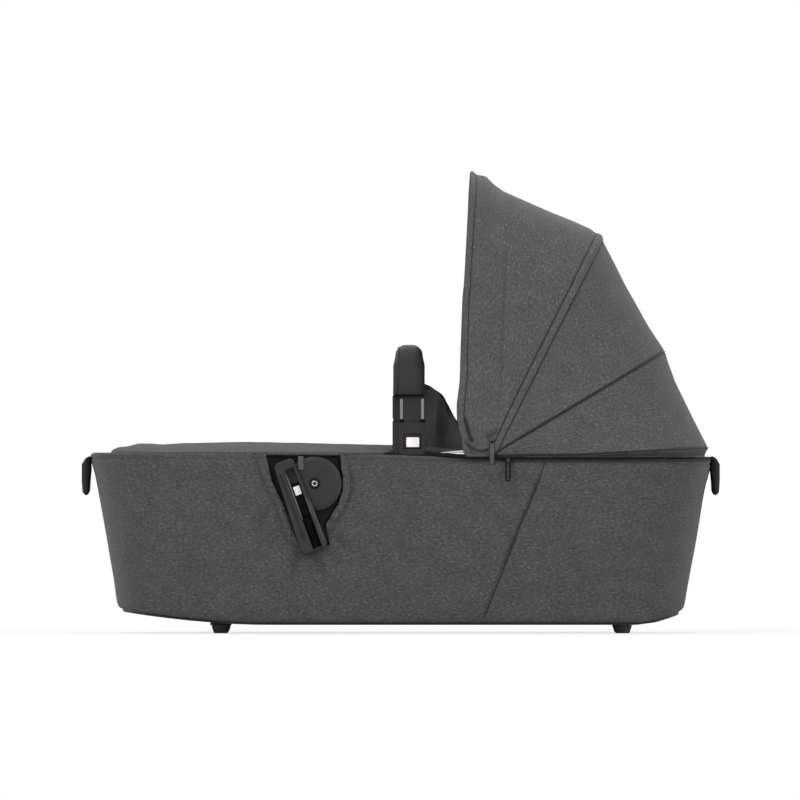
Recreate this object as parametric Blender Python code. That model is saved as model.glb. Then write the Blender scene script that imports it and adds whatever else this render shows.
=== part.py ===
"""Carrycot: moulded tray and rim frame, fabric tub, apron, folding handle and folding hood.

Lengths are in metres. +X runs from the foot end to the head end, +Y to the right-hand side and
+Z up. The rubber pads stand on Z = 0. Pieces called left lie at -Y, pieces called right at +Y.
"""

import math

import bmesh
import bpy
from mathutils import Matrix, Vector

# Tub shell
TUB_LENGTH_TOP = 0.8256
TUB_END_LEAN = 0.0358
TUB_LENGTH_BASE = TUB_LENGTH_TOP - 2.0 * TUB_END_LEAN
TUB_WIDTH_TOP = 0.4100
TUB_SIDE_LEAN = 0.0200
TUB_WIDTH_BASE = TUB_WIDTH_TOP - 2.0 * TUB_SIDE_LEAN
TUB_END_DEPTH = 0.1500
RIM_HEIGHT = 0.2365
TRAY_CLEARANCE = 0.0113
TRAY_FOOT_RUN = 0.1870
TRAY_HEAD_RUN = 0.0520
TRAY_RISE_AT_FOOT = 0.0180
TRAY_RISE_AT_HEAD = 0.0150
PLAN_EXPONENT = 2.8
FOOT_RISE_EXPONENT = 1.6
HEAD_RISE_EXPONENT = 1.2
END_STEPS = 6
SIDE_STEPS = 8

# Clearances
GAP = 0.0003
OVERRUN = 0.0100
SEAT_OVERLAP = 0.0008

# Layers of the wall, from the outside inward
COVER_THICKNESS = 0.0022
BOARD_THICKNESS = 0.0028
FRAME_WIDTH = 0.0184
FRAME_HEIGHT = 0.0260
FRAME_CHAMFER = 0.0030
LINING_THICKNESS = 0.0025
BOARD_INSET = COVER_THICKNESS + GAP
FRAME_INSET = BOARD_INSET + BOARD_THICKNESS + GAP
LINING_INSET = FRAME_INSET + FRAME_WIDTH + GAP

# Base tray
TRAY_FLOOR = 0.0030
TRAY_WALL = 0.0025
TRAY_WALL_HEIGHT = 0.0200
TRAY_LIP_INSET = 0.0060
TRAY_NECK_INSET = 0.0080
TRAY_LIP_HEIGHT = 0.0030
TRAY_NECK_HEIGHT = 0.0055
TRAY_SHOULDER_HEIGHT = 0.0128
TRAY_FLOOR_SHARES = (0.30, 0.62, 0.85)
RIB_TOP = 0.0257
RIB_THICKNESS = 0.0030
RIB_LENGTH = 0.2200
RIB_COUNT = 6
RIB_SPREAD = 0.4400
BOSS_RADIUS = 0.0090
ROUND_STEPS = 20

# Rubber floor pads
PAD_FOOT_SETBACK = 0.1375
PAD_HEAD_SETBACK = 0.0817
PAD_SIDE_SETBACK = 0.0550
PAD_FOOT_X = PAD_FOOT_SETBACK - TUB_LENGTH_BASE / 2.0
PAD_HEAD_X = TUB_LENGTH_BASE / 2.0 - PAD_HEAD_SETBACK
PAD_SPREAD_Y = TUB_WIDTH_BASE / 2.0 - PAD_SIDE_SETBACK
PAD_SEAT_DROP = 0.0004
PAD_SEAT_MARGIN = 0.0012
PAD_STEPS = 16
PAD_TOP_RADIUS = 0.0130
PAD_BOTTOM_RADIUS = 0.0098
PAD_EDGE = 0.0012
PAD_SPIGOT_RADIUS = 0.0045
PAD_SPIGOT_HEIGHT = 0.0020
SCREW_SHANK_RADIUS = 0.0017
SCREW_HEAD_RADIUS = 0.0036
SCREW_HEAD_HEIGHT = 0.0022
SCREW_DEPTH_IN_PAD = 0.0060
SCREW_STEPS = 10

# Fabric cover
COVER_HEM_HEIGHT = TRAY_LIP_HEIGHT + GAP
COVER_HEM_TURN = 0.0030
COVER_TURN_HEIGHT = 0.0120
HEM_END_SETBACK = 0.0005
COVER_BEAD_WIDTH = 0.0053
COVER_BEAD_HEIGHT = 0.0045
COVER_BEAD_RISE = 0.0020
COVER_LEVEL_SHARES = (0.30, 0.65)
BEAD_EDGE_SHARE = 0.15
BEAD_CROWN_SHARE = 0.55
BEAD_SHOULDER_SHARE = 0.40
HEM_TURN_SHARE = 0.90

# Stiffening boards
BOARD_FOOT_HEIGHT = 0.0131
BOARD_LEVEL_SHARES = (0.0, 0.35, 0.70, 1.0)

# Base board, lining and mattress
BASE_BOARD_THICKNESS = 0.0040
BASE_BOARD_INSET = 0.0600
LINING_LEVEL_SHARES = (0.20, 0.60, 1.0)
LINING_CORNER = 0.0060
MATTRESS_THICKNESS = 0.0350
MATTRESS_CLEARANCE = 0.0075
MATTRESS_SIDE_SHARES = ((0.0, 0.945), (0.14, 0.975), (0.50, 1.0), (0.86, 0.985))
MATTRESS_TOP_SHARES = ((0.95, 0.940), (0.98, 0.80), (0.995, 0.50), (1.0, 0.03))

# Apron over the foot half
APRON_END_INSET = 0.0188
APRON_SIDE_INSET = 0.0065
APRON_THICKNESS = 0.0025
APRON_EDGE_RISE = 0.0032
APRON_CROWN = 0.0125
APRON_CROWN_RUN = 0.0450
APRON_CROWN_EXPONENT = 2.4
APRON_NOTCH_OFFSET = 0.0150
APRON_NOTCH_X = -APRON_NOTCH_OFFSET
APRON_NOTCH_SETBACK = 0.0340
APRON_NOTCH_WIDTH = TUB_WIDTH_TOP - 2.0 * APRON_NOTCH_SETBACK
APRON_FRONT_X = 0.0100
APRON_TIP_X = 0.0810
APRON_FRONT_EXPONENT = 1.7
APRON_FRONT_STEPS = 10
APRON_NOTCH_SHARES = (0.36, 0.68)
APRON_CENTRE_SHARE = 0.46
APRON_RING_SHARES = (1.0, 0.93, 0.78, 0.52, 0.25, 0.03)
COLLAR_HEIGHT = 0.0885
COLLAR_TIP_HEIGHT = 0.0090
COLLAR_SETBACK = 0.0045
COLLAR_THICKNESS = 0.0025
COLLAR_END_SETBACK = 0.0060
COLLAR_SPREAD = APRON_NOTCH_WIDTH / 2.0 - COLLAR_END_SETBACK
COLLAR_LEAN = 0.0060
COLLAR_COLUMNS = 20
COLLAR_ROWS = 4

# Grips at both ends
GRIP_WIDTH = 0.1100
GRIP_REACH = 0.0125
GRIP_TOP = RIM_HEIGHT
GRIP_LENGTH = 0.0530
GRIP_OUTLINE_SHARES = ((0.10, 0.0), (0.62, 0.07), (1.0, 0.22), (1.0, 0.62), (0.93, 0.90),
                       (0.72, 1.0), (0.36, 1.0), (0.15, 0.88), (0.10, 0.64), (0.0, 0.40), (0.0, 0.06))
GRIP_TAB_WIDTH = 0.0600
GRIP_TAB_DROP = 0.0055
GRIP_TAB_THICKNESS = 0.0050
GRIP_BEVEL = 0.0020

# Recess in the side, with the chassis bracket
RECESS_OFFSET = 0.1835
RECESS_X = -RECESS_OFFSET
RECESS_WIDTH = 0.1100
RECESS_DEPTH = 0.1260
RECESS_SHARES = ((0.0, 0.0), (0.111, 0.278), (0.244, 0.520), (0.389, 0.859), (0.450, 0.945),
                 (0.812, 0.945), (0.764, 0.721), (0.909, 0.531), (0.975, 0.362), (0.975, 0.204),
                 (0.914, 0.0))
RECESS_LEFT_RUN = 4
RECESS_RIGHT_RUN = 6
PIPING_RADIUS = 0.0028
PIPING_OFFSET = 0.0024
PIPING_STAND = 0.0006
PIPING_SIDES = 7
PIPING_STEPS = 9
HOUSING_SETBACK = 0.0105
HOUSING_FACE_Y = TUB_WIDTH_TOP / 2.0 - HOUSING_SETBACK
HOUSING_THICKNESS = 0.0080
HOUSING_MARGIN = 0.0018
HOUSING_TOP_DROP = 0.0010
HOUSING_BEVEL = 0.0010
DISC_OFFSET = 0.1146
DISC_X = -DISC_OFFSET
DISC_DROP = 0.0370
DISC_Z = RIM_HEIGHT - DISC_DROP
DISC_RADIUS = 0.0360
DISC_THICKNESS = 0.0082
DISC_RIM = 0.0055
DISC_RIM_DROP = 0.0016
DISC_STEPS = 32
DISC_BORE_RADIUS = 0.0078
DISC_BORE_DEPTH = 0.0032
BOLT_HEAD_RADIUS = 0.0062
BOLT_HEAD_HEIGHT = 0.0024
BOLT_SOCKET_RADIUS = 0.0030
BOLT_SOCKET_DEPTH = 0.0013
BOLT_RADIUS = 0.0025
ARM_OFFSET = 0.1567
ARM_TOP_X = -ARM_OFFSET
ARM_TOP_DROP = 0.0071
ARM_TOP_Z = RIM_HEIGHT - ARM_TOP_DROP
ARM_LENGTH = 0.1270
ARM_TILT = math.radians(20.0)
ARM_TOP_HALF = 0.0140
ARM_BOTTOM_HALF = 0.0185
ARM_CORNER = 0.0040
ARM_DEPTH = 0.0168
ARM_FLOOR = 0.0045
ARM_BEVEL = 0.0012
CHANNEL_CENTRE = 0.0040
CHANNEL_WIDTH = 0.0130
CHANNEL_START = 0.0120
GROOVE_OFFSET = 0.0092
GROOVE_WIDTH = 0.0030
GROOVE_DEPTH = 0.0022
GROOVE_START = 0.0160
GROOVE_END = 0.1080
LATCH_START = 0.0330
LATCH_LENGTH = 0.0450
LATCH_THICKNESS = 0.0066
LATCH_SEAT = 0.0004
LATCH_SEAT_MARGIN = 0.0023
LATCH_BEVEL = 0.0008

# Carry handle
HANDLE_OFFSET = 0.0110
HANDLE_LEFT_X = -HANDLE_OFFSET
HANDLE_WIDTH = 0.0440
HANDLE_SETBACK = 0.0065
HANDLE_OUTER_Y = TUB_WIDTH_TOP / 2.0 - HANDLE_SETBACK
HANDLE_DEPTH = 0.0220
HANDLE_RISE = 0.1475
HANDLE_TOP = RIM_HEIGHT + HANDLE_RISE
HANDLE_STEP_X = 0.0080
HANDLE_STEP_DEPTH = 0.0055
BLOCK_HEIGHT = 0.0461
LEG_HEIGHT = 0.0325
KNUCKLE_RADIUS = 0.0045
EAR_RADIUS = 0.0042
EAR_INSET_Y = 0.0052
EAR_WIDTH = 0.0074
EAR_NECK = 0.0035
NOTCH_REACH = 0.0060
PIN_RADIUS = 0.0014
PIN_LENGTH = 0.0146
PIN_INSET_Y = 0.0014
RAIL_WIDTH = 0.0038
RAIL_HEIGHT = 0.0010
RAIL_START = 0.0020
RAIL_LENGTH = 0.0270
RAIL_LEFT = 0.0100
RAIL_RIGHT = 0.0380
BAR_WIDTH = 0.0300
BAR_THICKNESS = 0.0100
BAR_SEAT = 0.0115
BAR_CORNER_RADIUS = 0.0550
BAR_EDGE = 0.0020
GRIP_EDGE_WIDTH = 0.0160
GRIP_EDGE_DEPTH = 0.0105
CORNER_STEPS = 7
SPAN_STEPS = 2
BUTTON_X = 0.0155
BUTTON_WIDTH = 0.0230
BUTTON_DROP = 0.0090
BUTTON_HEIGHT = 0.0195
BUTTON_DEPTH = 0.0085
BUTTON_PROUD = 0.0005
BUTTON_TRAVEL = 0.0030
BUTTON_BEVEL = 0.0008
HANDLE_BEVEL = 0.0020

# Hood
PIVOT_X = 0.1213
PIVOT_RISE = 0.0009
PIVOT_Z = RIM_HEIGHT + PIVOT_RISE
HOOD_SETBACK = 0.0077
HOOD_HALF_WIDTH = TUB_WIDTH_TOP / 2.0 - HOOD_SETBACK
HOOD_FRONT_HEIGHT = 0.3790
HOOD_MIDDLE_REACH = 0.3260
HOOD_MIDDLE_ANGLE = math.radians(63.5)
HOOD_REAR_REACH = 0.2696
HOOD_REAR_ANGLE = math.radians(30.9)
HOOD_END_SETBACK = 0.0025
HOOD_BASE_REACH = TUB_LENGTH_TOP / 2.0 - PIVOT_X - HOOD_END_SETBACK
HOOD_BASE_RISE = 0.0016
HOOD_SHOULDER = 0.1500
HOOD_CROWN_EXPONENT = 2.6
HOOD_FABRIC = 0.0020
HOOD_SKIRT_START = 0.0220
HOOD_SAG = 0.0030
HOOD_SEAM = 0.0012
LEG_STEPS = 5
CROWN_STEPS = 8
PANEL_ROWS = 4
FRONT_EDGE_SHARES = ((-0.090, 0.008), (-0.100, 0.032), (-0.106, 0.062), (-0.117, 0.116),
                     (-0.119, 0.169), (-0.109, 0.369), (-0.102, 0.555), (-0.097, 0.604))
FRONT_APEX_SHARE = -0.0726
FRONT_BOW_LEG_SHARES = ((-0.0480, 0.018), (-0.0790, 0.060), (-0.0940, 0.130), (-0.0950, 0.190),
                        (-0.0880, 0.369), (-0.0810, 0.540), (-0.0785, 0.570))
FRONT_BOW_APEX_SHARES = (-0.0515, 0.9745)
FRONT_BOW_TILT = math.radians(23.0)
BOW_WIDTH = 0.0120
BOW_THICKNESS = 0.0028
BOW_SPACING = 0.0032
BOW_EYE_RADIUS = 0.0105
BOW_NECK_SHARE = 1.3
BOW_EYE_SHARES = (-0.995, -0.90, -0.65, -0.30, 0.10, 0.45, 0.70, 0.82)
BOW_FABRIC_GAP = 0.0005
BOW_CROWN_DROP = 0.0034
BOW_SHOULDER_DROP = 0.0100
MIDDLE_BOW_TILT = math.radians(19.0)
BAND_HEIGHT = 0.0110
BAND_START_REACH = 0.1107
BAND_START_X = PIVOT_X + BAND_START_REACH
BAND_TAPER_SHARE = 0.25
HUB_CHEEK_WIDTH = 0.0300
HUB_CHEEK = 0.0024
HUB_RADIUS = 0.0115
HUB_SLOT_DEPTH = 0.0122
HUB_FOOT_REACH = 0.0180
HUB_HEAD_REACH = 0.0450
HUB_STEP_DROP = 0.0040
HUB_PIN_RADIUS = 0.0030
HUB_PIN_CLEARANCE = 0.0003

# Small trim on the side of the hood
TAB_WIDTH = 0.0086
TAB_RISE = 0.0195
TAB_DROP = 0.0125
TAB_TOP = RIM_HEIGHT + TAB_RISE
TAB_BOTTOM = RIM_HEIGHT - TAB_DROP
TAB_THICKNESS = 0.0016
ZIP_REACH = 0.0213
ZIP_X = PIVOT_X + ZIP_REACH
ZIP_DROP = 0.0015
ZIP_TOP = RIM_HEIGHT - ZIP_DROP
SLIDER_WIDTH = 0.0070
SLIDER_HEIGHT = 0.0080
SLIDER_THICKNESS = 0.0036
PULL_WIDTH = 0.0080
PULL_LENGTH = 0.0340
PULL_THICKNESS = 0.0022
PULL_EYE_DROP = 0.0030

# Colours are linear RGB
CHARCOAL = (0.090, 0.090, 0.092)
CHARCOAL_LIGHT = (0.105, 0.105, 0.107)
BLACK = (0.012, 0.012, 0.013)
DARK_GREY = (0.035, 0.035, 0.037)
MID_GREY = (0.170, 0.170, 0.175)
STEEL = (0.550, 0.550, 0.560)
LINING_GREY = (0.300, 0.300, 0.305)
BOARD_GREY = (0.200, 0.190, 0.180)
MATTRESS_WHITE = (0.780, 0.780, 0.760)

SIDES = (("left", -1.0), ("right", 1.0))


def clear_scene():
    """Remove every object that the file holds."""
    for item in list(bpy.data.objects):
        bpy.data.objects.remove(item, do_unlink=True)


def finish(name, colour, roughness, metallic=0.0):
    """Make one sub-part's material."""
    material = bpy.data.materials.new(name + "_finish")
    material.use_nodes = True
    shader = material.node_tree.nodes["Principled BSDF"]
    shader.inputs["Base Color"].default_value = (*colour, 1.0)
    shader.inputs["Roughness"].default_value = roughness
    shader.inputs["Metallic"].default_value = metallic
    return material


def add_object(name, points, faces, colour=None, roughness=0.6, metallic=0.0, smooth=30.0):
    """Make a closed mesh object with its faces turned outward. Without a colour it is a tool."""
    mesh = bpy.data.meshes.new(name)
    mesh.from_pydata([tuple(point) for point in points], [], faces)
    work = bmesh.new()
    work.from_mesh(mesh)
    bmesh.ops.recalc_face_normals(work, faces=work.faces)
    work.to_mesh(mesh)
    work.free()
    item = bpy.data.objects.new(name, mesh)
    bpy.context.scene.collection.objects.link(item)
    if colour is None:
        item.hide_render = True
        item.display_type = "WIRE"
    else:
        mesh.materials.append(finish(name, colour, roughness, metallic))
        mesh.shade_smooth()
        mesh.set_sharp_from_angle(angle=math.radians(smooth))
    return item


def join_parts(parts):
    """Merge several (points, faces) pairs into one pair of separate bodies."""
    points = []
    faces = []
    for part_points, part_faces in parts:
        start = len(points)
        points.extend(part_points)
        faces.extend([tuple(index + start for index in face) for face in part_faces])
    return points, faces


def use_tool(item, tool, operation="DIFFERENCE"):
    """Cut or unite an object with a hidden tool."""
    modifier = item.modifiers.new(tool.name, "BOOLEAN")
    modifier.operation = operation
    modifier.solver = "EXACT"
    modifier.object = tool


def bevel(item, width, segments=1, angle=40.0):
    """Round an object's sharp edges."""
    modifier = item.modifiers.new("edges", "BEVEL")
    modifier.width = width
    modifier.segments = segments
    modifier.limit_method = "ANGLE"
    modifier.angle_limit = math.radians(angle)


def move_origin(item, origin):
    """Put an object's origin on its joint's axis with the mesh left in place."""
    item.data.transform(Matrix.Translation(-origin))
    item.location = origin


def mix(start, end, share):
    """Blend two values."""
    return start + (end - start) * share


def loft(rings, cyclic=False):
    """Join closed rings of points. Without cyclic the first and last ring get a cap."""
    count = len(rings[0])
    points = [point for ring in rings for point in ring]
    faces = []
    steps = len(rings) if cyclic else len(rings) - 1
    for row in range(steps):
        low = row * count
        high = ((row + 1) % len(rings)) * count
        for column in range(count):
            after = (column + 1) % count
            faces.append((low + column, low + after, high + after, high + column))
    if not cyclic:
        faces.append(tuple(range(count)))
        faces.append(tuple(range(len(points) - count, len(points))))
    return points, faces


def two_sided(outer, inner):
    """Closed solid between two grids that have the same rows and columns."""
    rows = len(outer)
    columns = len(outer[0])
    points = [point for row in outer for point in row] + [point for row in inner for point in row]
    faces = []

    def at(row, column, layer):
        return layer * rows * columns + row * columns + column

    for row in range(rows - 1):
        for column in range(columns - 1):
            for layer in (0, 1):
                faces.append((at(row, column, layer), at(row, column + 1, layer),
                              at(row + 1, column + 1, layer), at(row + 1, column, layer)))
        for column in (0, columns - 1):
            faces.append((at(row, column, 0), at(row + 1, column, 0),
                          at(row + 1, column, 1), at(row, column, 1)))
    for column in range(columns - 1):
        for row in (0, rows - 1):
            faces.append((at(row, column, 0), at(row, column + 1, 0),
                          at(row, column + 1, 1), at(row, column, 1)))
    return points, faces


def offset_grid(grid, distance):
    """Move each point of a grid along its own normal, which points out for a hood or collar."""
    rows = len(grid)
    columns = len(grid[0])
    moved = []
    for row in range(rows):
        line = []
        for column in range(columns):
            along = grid[min(row + 1, rows - 1)][column] - grid[max(row - 1, 0)][column]
            across = grid[row][min(column + 1, columns - 1)] - grid[row][max(column - 1, 0)]
            normal = along.cross(across).normalized()
            line.append(grid[row][column] + normal * distance)
        moved.append(line)
    return moved


def box(low, high):
    """Points and faces of an upright box."""
    ring = [(low[0], low[1]), (high[0], low[1]), (high[0], high[1]), (low[0], high[1])]
    return loft([[Vector((x, y, low[2])) for x, y in ring],
                 [Vector((x, y, high[2])) for x, y in ring]])


def side_prism(outline, near, far, side):
    """Prism of an X-Z outline between two distances from the centre plane on one side."""
    return loft([[Vector((x, side * near, z)) for x, z in outline],
                 [Vector((x, side * far, z)) for x, z in outline]])


def turned(centre, profile, axis="Z", steps=ROUND_STEPS):
    """Solid of revolution from (radius, position) pairs along Z or Y."""
    rings = []
    for radius, position in profile:
        ring = []
        for step in range(steps):
            angle = 2.0 * math.pi * step / steps
            first = radius * math.cos(angle)
            second = radius * math.sin(angle)
            offset = (first, second, position) if axis == "Z" else (first, position, second)
            ring.append(centre + Vector(offset))
        rings.append(ring)
    return loft(rings)


def inset_outline(outline, distance):
    """Move a closed outline inward by a distance, or outward if it is negative."""
    area = sum(a[0] * b[1] - b[0] * a[1] for a, b in zip(outline, outline[1:] + outline[:1]))
    turn = 1.0 if area > 0.0 else -1.0
    moved = []
    count = len(outline)
    for index in range(count):
        before = Vector(outline[index - 1])
        here = Vector(outline[index])
        after = Vector(outline[(index + 1) % count])
        first = (here - before).normalized()
        second = (after - here).normalized()
        first_normal = Vector((-first.y, first.x)) * turn
        second_normal = Vector((-second.y, second.x)) * turn
        corner = (first_normal + second_normal).normalized()
        moved.append(tuple(here + corner * (distance / corner.dot(first_normal))))
    return moved


def plan_ring(half_length, half_width, end_depth):
    """Outline of the tub in plan, anticlockwise from the middle of the head end."""
    power = 2.0 / PLAN_EXPONENT
    straight = half_length - end_depth
    sweep = [math.pi / 2.0 * step / END_STEPS for step in range(END_STEPS)]
    rising = [(max(math.cos(a), 0.0) ** power, math.sin(a) ** power) for a in sweep]
    falling = [(math.sin(a) ** power, max(math.cos(a), 0.0) ** power) for a in sweep]
    along = [1.0 - 2.0 * step / SIDE_STEPS for step in range(SIDE_STEPS)]
    ring = [(straight + end_depth * x, half_width * y) for x, y in rising]
    ring += [(straight * share, half_width) for share in along]
    ring += [(-straight - end_depth * x, half_width * y) for x, y in falling]
    ring += [(-straight - end_depth * x, -half_width * y) for x, y in rising]
    ring += [(-straight * share, -half_width) for share in along]
    ring += [(straight + end_depth * x, -half_width * y) for x, y in falling]
    return ring


def base_height(x):
    """Height of the tray's underside, which rises toward both ends."""
    half = TUB_LENGTH_BASE / 2.0
    foot_share = min(max((TRAY_FOOT_RUN - half - x) / TRAY_FOOT_RUN, 0.0), 1.0)
    head_share = min(max((x + TRAY_HEAD_RUN - half) / TRAY_HEAD_RUN, 0.0), 1.0)
    rise = TRAY_RISE_AT_FOOT * foot_share ** FOOT_RISE_EXPONENT
    return TRAY_CLEARANCE + rise + TRAY_RISE_AT_HEAD * head_share ** HEAD_RISE_EXPONENT


def half_width_at(height):
    """Half the tub's outside width at a height."""
    share = (height - TRAY_CLEARANCE) / (RIM_HEIGHT - TRAY_CLEARANCE)
    return mix(TUB_WIDTH_BASE, TUB_WIDTH_TOP, share) / 2.0


def sized_ring(share, inset):
    """The tub's plan outline at a share of its height, moved inward."""
    half_length = mix(TUB_LENGTH_BASE, TUB_LENGTH_TOP, share) / 2.0 - inset
    half_width = mix(TUB_WIDTH_BASE, TUB_WIDTH_TOP, share) / 2.0 - inset
    return plan_ring(half_length, half_width, TUB_END_DEPTH - inset)


def tub_ring(share, inset, lift=0.0):
    """A level of the sloping wall, between the curved base and the rim. A lift moves it up the slope."""
    ring = []
    for foot, low, high in zip(sized_ring(0.0, 0.0), sized_ring(0.0, inset), sized_ring(1.0, inset)):
        base = base_height(foot[0])
        level = share + lift / (RIM_HEIGHT - base)
        ring.append(Vector((mix(low[0], high[0], level), mix(low[1], high[1], level),
                            mix(base, RIM_HEIGHT, level))))
    return ring


def level_ring(height, inset):
    """A flat level of something that lies inside the tub."""
    share = (height - TRAY_CLEARANCE) / (RIM_HEIGHT - TRAY_CLEARANCE)
    return [Vector((x, y, height)) for x, y in sized_ring(share, inset)]


def tray_ring(scale, lift):
    """The tray's floor outline at a scale about its middle."""
    return [Vector((x * scale, y * scale, base_height(x * scale) + lift))
            for x, y in sized_ring(0.0, TRAY_LIP_INSET)]


def pad_places():
    """Names and places of the four floor pads on the tray's underside."""
    return [(end + "_" + name, Vector((x, side * PAD_SPREAD_Y, 0.0)))
            for end, x in (("foot", PAD_FOOT_X), ("head", PAD_HEAD_X)) for name, side in SIDES]


def make_tray():
    """Moulded pan with a lip that shows below the cover, cross ribs and screw bosses."""
    inner = TRAY_NECK_INSET + TRAY_WALL
    rings = [tray_ring(share, 0.0) for share in TRAY_FLOOR_SHARES]
    rings.append(tray_ring(1.0, 0.0))
    rings.append(tub_ring(0.0, TRAY_LIP_INSET, TRAY_LIP_HEIGHT))
    rings.append(tub_ring(0.0, TRAY_NECK_INSET, TRAY_LIP_HEIGHT))
    rings.append(tub_ring(0.0, TRAY_NECK_INSET, TRAY_NECK_HEIGHT))
    rings.append(tub_ring(0.0, FRAME_INSET, TRAY_SHOULDER_HEIGHT))
    rings.append(tub_ring(0.0, FRAME_INSET, TRAY_WALL_HEIGHT))
    rings.append(tub_ring(0.0, FRAME_INSET + TRAY_WALL, TRAY_WALL_HEIGHT))
    rings.append(tub_ring(0.0, inner, TRAY_NECK_HEIGHT))
    rings.append(tub_ring(0.0, inner, TRAY_FLOOR))
    rings += [tray_ring(share, TRAY_FLOOR) for share in reversed(TRAY_FLOOR_SHARES)]
    tray = add_object("base_tray", *loft(rings), BLACK, 0.55)

    stiffeners = []
    for step in range(RIB_COUNT):
        x = mix(-RIB_SPREAD / 2.0, RIB_SPREAD / 2.0, step / (RIB_COUNT - 1))
        low = base_height(x) + TRAY_FLOOR / 2.0
        stiffeners.append(box((x - RIB_THICKNESS / 2.0, -RIB_LENGTH / 2.0, low),
                              (x + RIB_THICKNESS / 2.0, RIB_LENGTH / 2.0, RIB_TOP)))
    bores = []
    seat = TRAY_CLEARANCE - PAD_SEAT_DROP
    top = seat + PAD_SPIGOT_HEIGHT + GAP
    ring = PAD_TOP_RADIUS + PAD_SEAT_MARGIN
    for _, base in pad_places():
        floor = base_height(base.x) + TRAY_FLOOR / 2.0
        stiffeners.append(turned(base, ((ring, seat), (ring, floor), (BOSS_RADIUS, floor),
                                    (BOSS_RADIUS, RIB_TOP - SCREW_HEAD_HEIGHT - GAP)), "Z", PAD_STEPS))
        hole = SCREW_SHANK_RADIUS + GAP
        socket = PAD_SPIGOT_RADIUS + GAP
        bores.append(turned(base, ((socket, -OVERRUN), (socket, top), (hole, top),
                                   (hole, RIB_TOP + OVERRUN)), "Z", SCREW_STEPS))
    use_tool(tray, add_object("tray_rib_tool", *join_parts(stiffeners)), "UNION")
    use_tool(tray, add_object("tray_bore_tool", *join_parts(bores)))
    return tray


def make_pads():
    """Four tapered rubber pads, each with a spigot in the tray and a blind bore for its screw."""
    seat = TRAY_CLEARANCE - PAD_SEAT_DROP - GAP
    top = seat + PAD_SPIGOT_HEIGHT
    for name, base in pad_places():
        hole = SCREW_SHANK_RADIUS + GAP
        tip = top - SCREW_DEPTH_IN_PAD
        add_object("floor_pad_" + name,
                   *turned(base, ((PAD_BOTTOM_RADIUS - PAD_EDGE, 0.0), (PAD_BOTTOM_RADIUS, PAD_EDGE),
                                  (PAD_TOP_RADIUS - PAD_EDGE / 2.0, seat - PAD_EDGE),
                                  (PAD_TOP_RADIUS, seat), (PAD_SPIGOT_RADIUS, seat),
                                  (PAD_SPIGOT_RADIUS, top), (hole, top), (hole, tip - GAP)),
                           "Z", PAD_STEPS),
                   BLACK, 0.8)
        head = RIB_TOP - SCREW_HEAD_HEIGHT
        add_object("pad_screw_" + name,
                   *turned(base, ((SCREW_SHANK_RADIUS, tip), (SCREW_SHANK_RADIUS, head),
                                  (SCREW_HEAD_RADIUS, head),
                                  (SCREW_HEAD_RADIUS, head + SCREW_HEAD_HEIGHT / 2.0),
                                  (SCREW_HEAD_RADIUS / 2.0, RIB_TOP)), "Z", SCREW_STEPS),
                   STEEL, 0.35, 1.0)


def recess_outline():
    """Corners of the recess in a side view, from its top left round to its top right."""
    return [(RECESS_X + RECESS_WIDTH * across, RIM_HEIGHT - RECESS_DEPTH * down)
            for across, down in RECESS_SHARES]


def recess_tool(side, name):
    """Cutter for the recess, open at the rim."""
    outline = recess_outline()
    high = RIM_HEIGHT + OVERRUN
    outline = [(outline[0][0], high)] + outline[1:-1] + [(outline[-1][0], high)]
    points, faces = side_prism(outline, HOUSING_FACE_Y - RECESS_WIDTH / 4.0,
                               TUB_WIDTH_TOP / 2.0 + OVERRUN, side)
    return add_object("recess_tool_" + name, points, faces)


def grip_slot_tool(end, name, clearance):
    """Cutter or tab shape for an end grip's tab through the cover and board."""
    outer = TUB_LENGTH_TOP / 2.0 + GRIP_REACH / 2.0
    inner = TUB_LENGTH_TOP / 2.0 - FRAME_INSET + GAP
    top = RIM_HEIGHT - GRIP_TAB_DROP + clearance
    low = top - GRIP_TAB_THICKNESS - 2.0 * clearance
    half = GRIP_TAB_WIDTH / 2.0 + clearance
    first = end * (inner - clearance)
    last = end * (outer + clearance)
    points, faces = box((min(first, last), -half, low), (max(first, last), half, top))
    return add_object(name, points, faces)


def wall_piping(points, side):
    """Soft tube along a line on the side wall."""
    radius = PIPING_RADIUS
    line = []
    for step in range(PIPING_STEPS + 1):
        place = (len(points) - 1) * step / PIPING_STEPS
        index = min(int(place), len(points) - 2)
        start = Vector(points[index])
        end = Vector(points[index + 1])
        spot = start.lerp(end, place - index)
        line.append(Vector((spot.x, side * (half_width_at(spot.y) + PIPING_STAND), spot.y)))
    rings = []
    for index, spot in enumerate(line):
        along = (line[min(index + 1, len(line) - 1)] - line[max(index - 1, 0)]).normalized()
        out = Vector((0.0, side, 0.0))
        out = (out - along * along.dot(out)).normalized()
        across = along.cross(out)
        ring = []
        for step in range(PIPING_SIDES):
            angle = 2.0 * math.pi * step / PIPING_SIDES
            ring.append(spot + out * radius * math.sin(angle) + across * radius * math.cos(angle))
        rings.append(ring)
    return loft(rings)


def recess_piping(name, side):
    """Padded edges sewn to the cover down both sides of the recess."""
    outline = inset_outline(recess_outline(), -PIPING_OFFSET)
    drop = COVER_BEAD_HEIGHT + PIPING_RADIUS
    outline = [(x, min(z, RIM_HEIGHT - drop)) for x, z in outline]
    left = wall_piping(outline[:RECESS_LEFT_RUN], side)
    right = wall_piping(outline[RECESS_RIGHT_RUN:], side)
    return add_object("piping_tool_" + name, *join_parts([left, right]))


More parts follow.
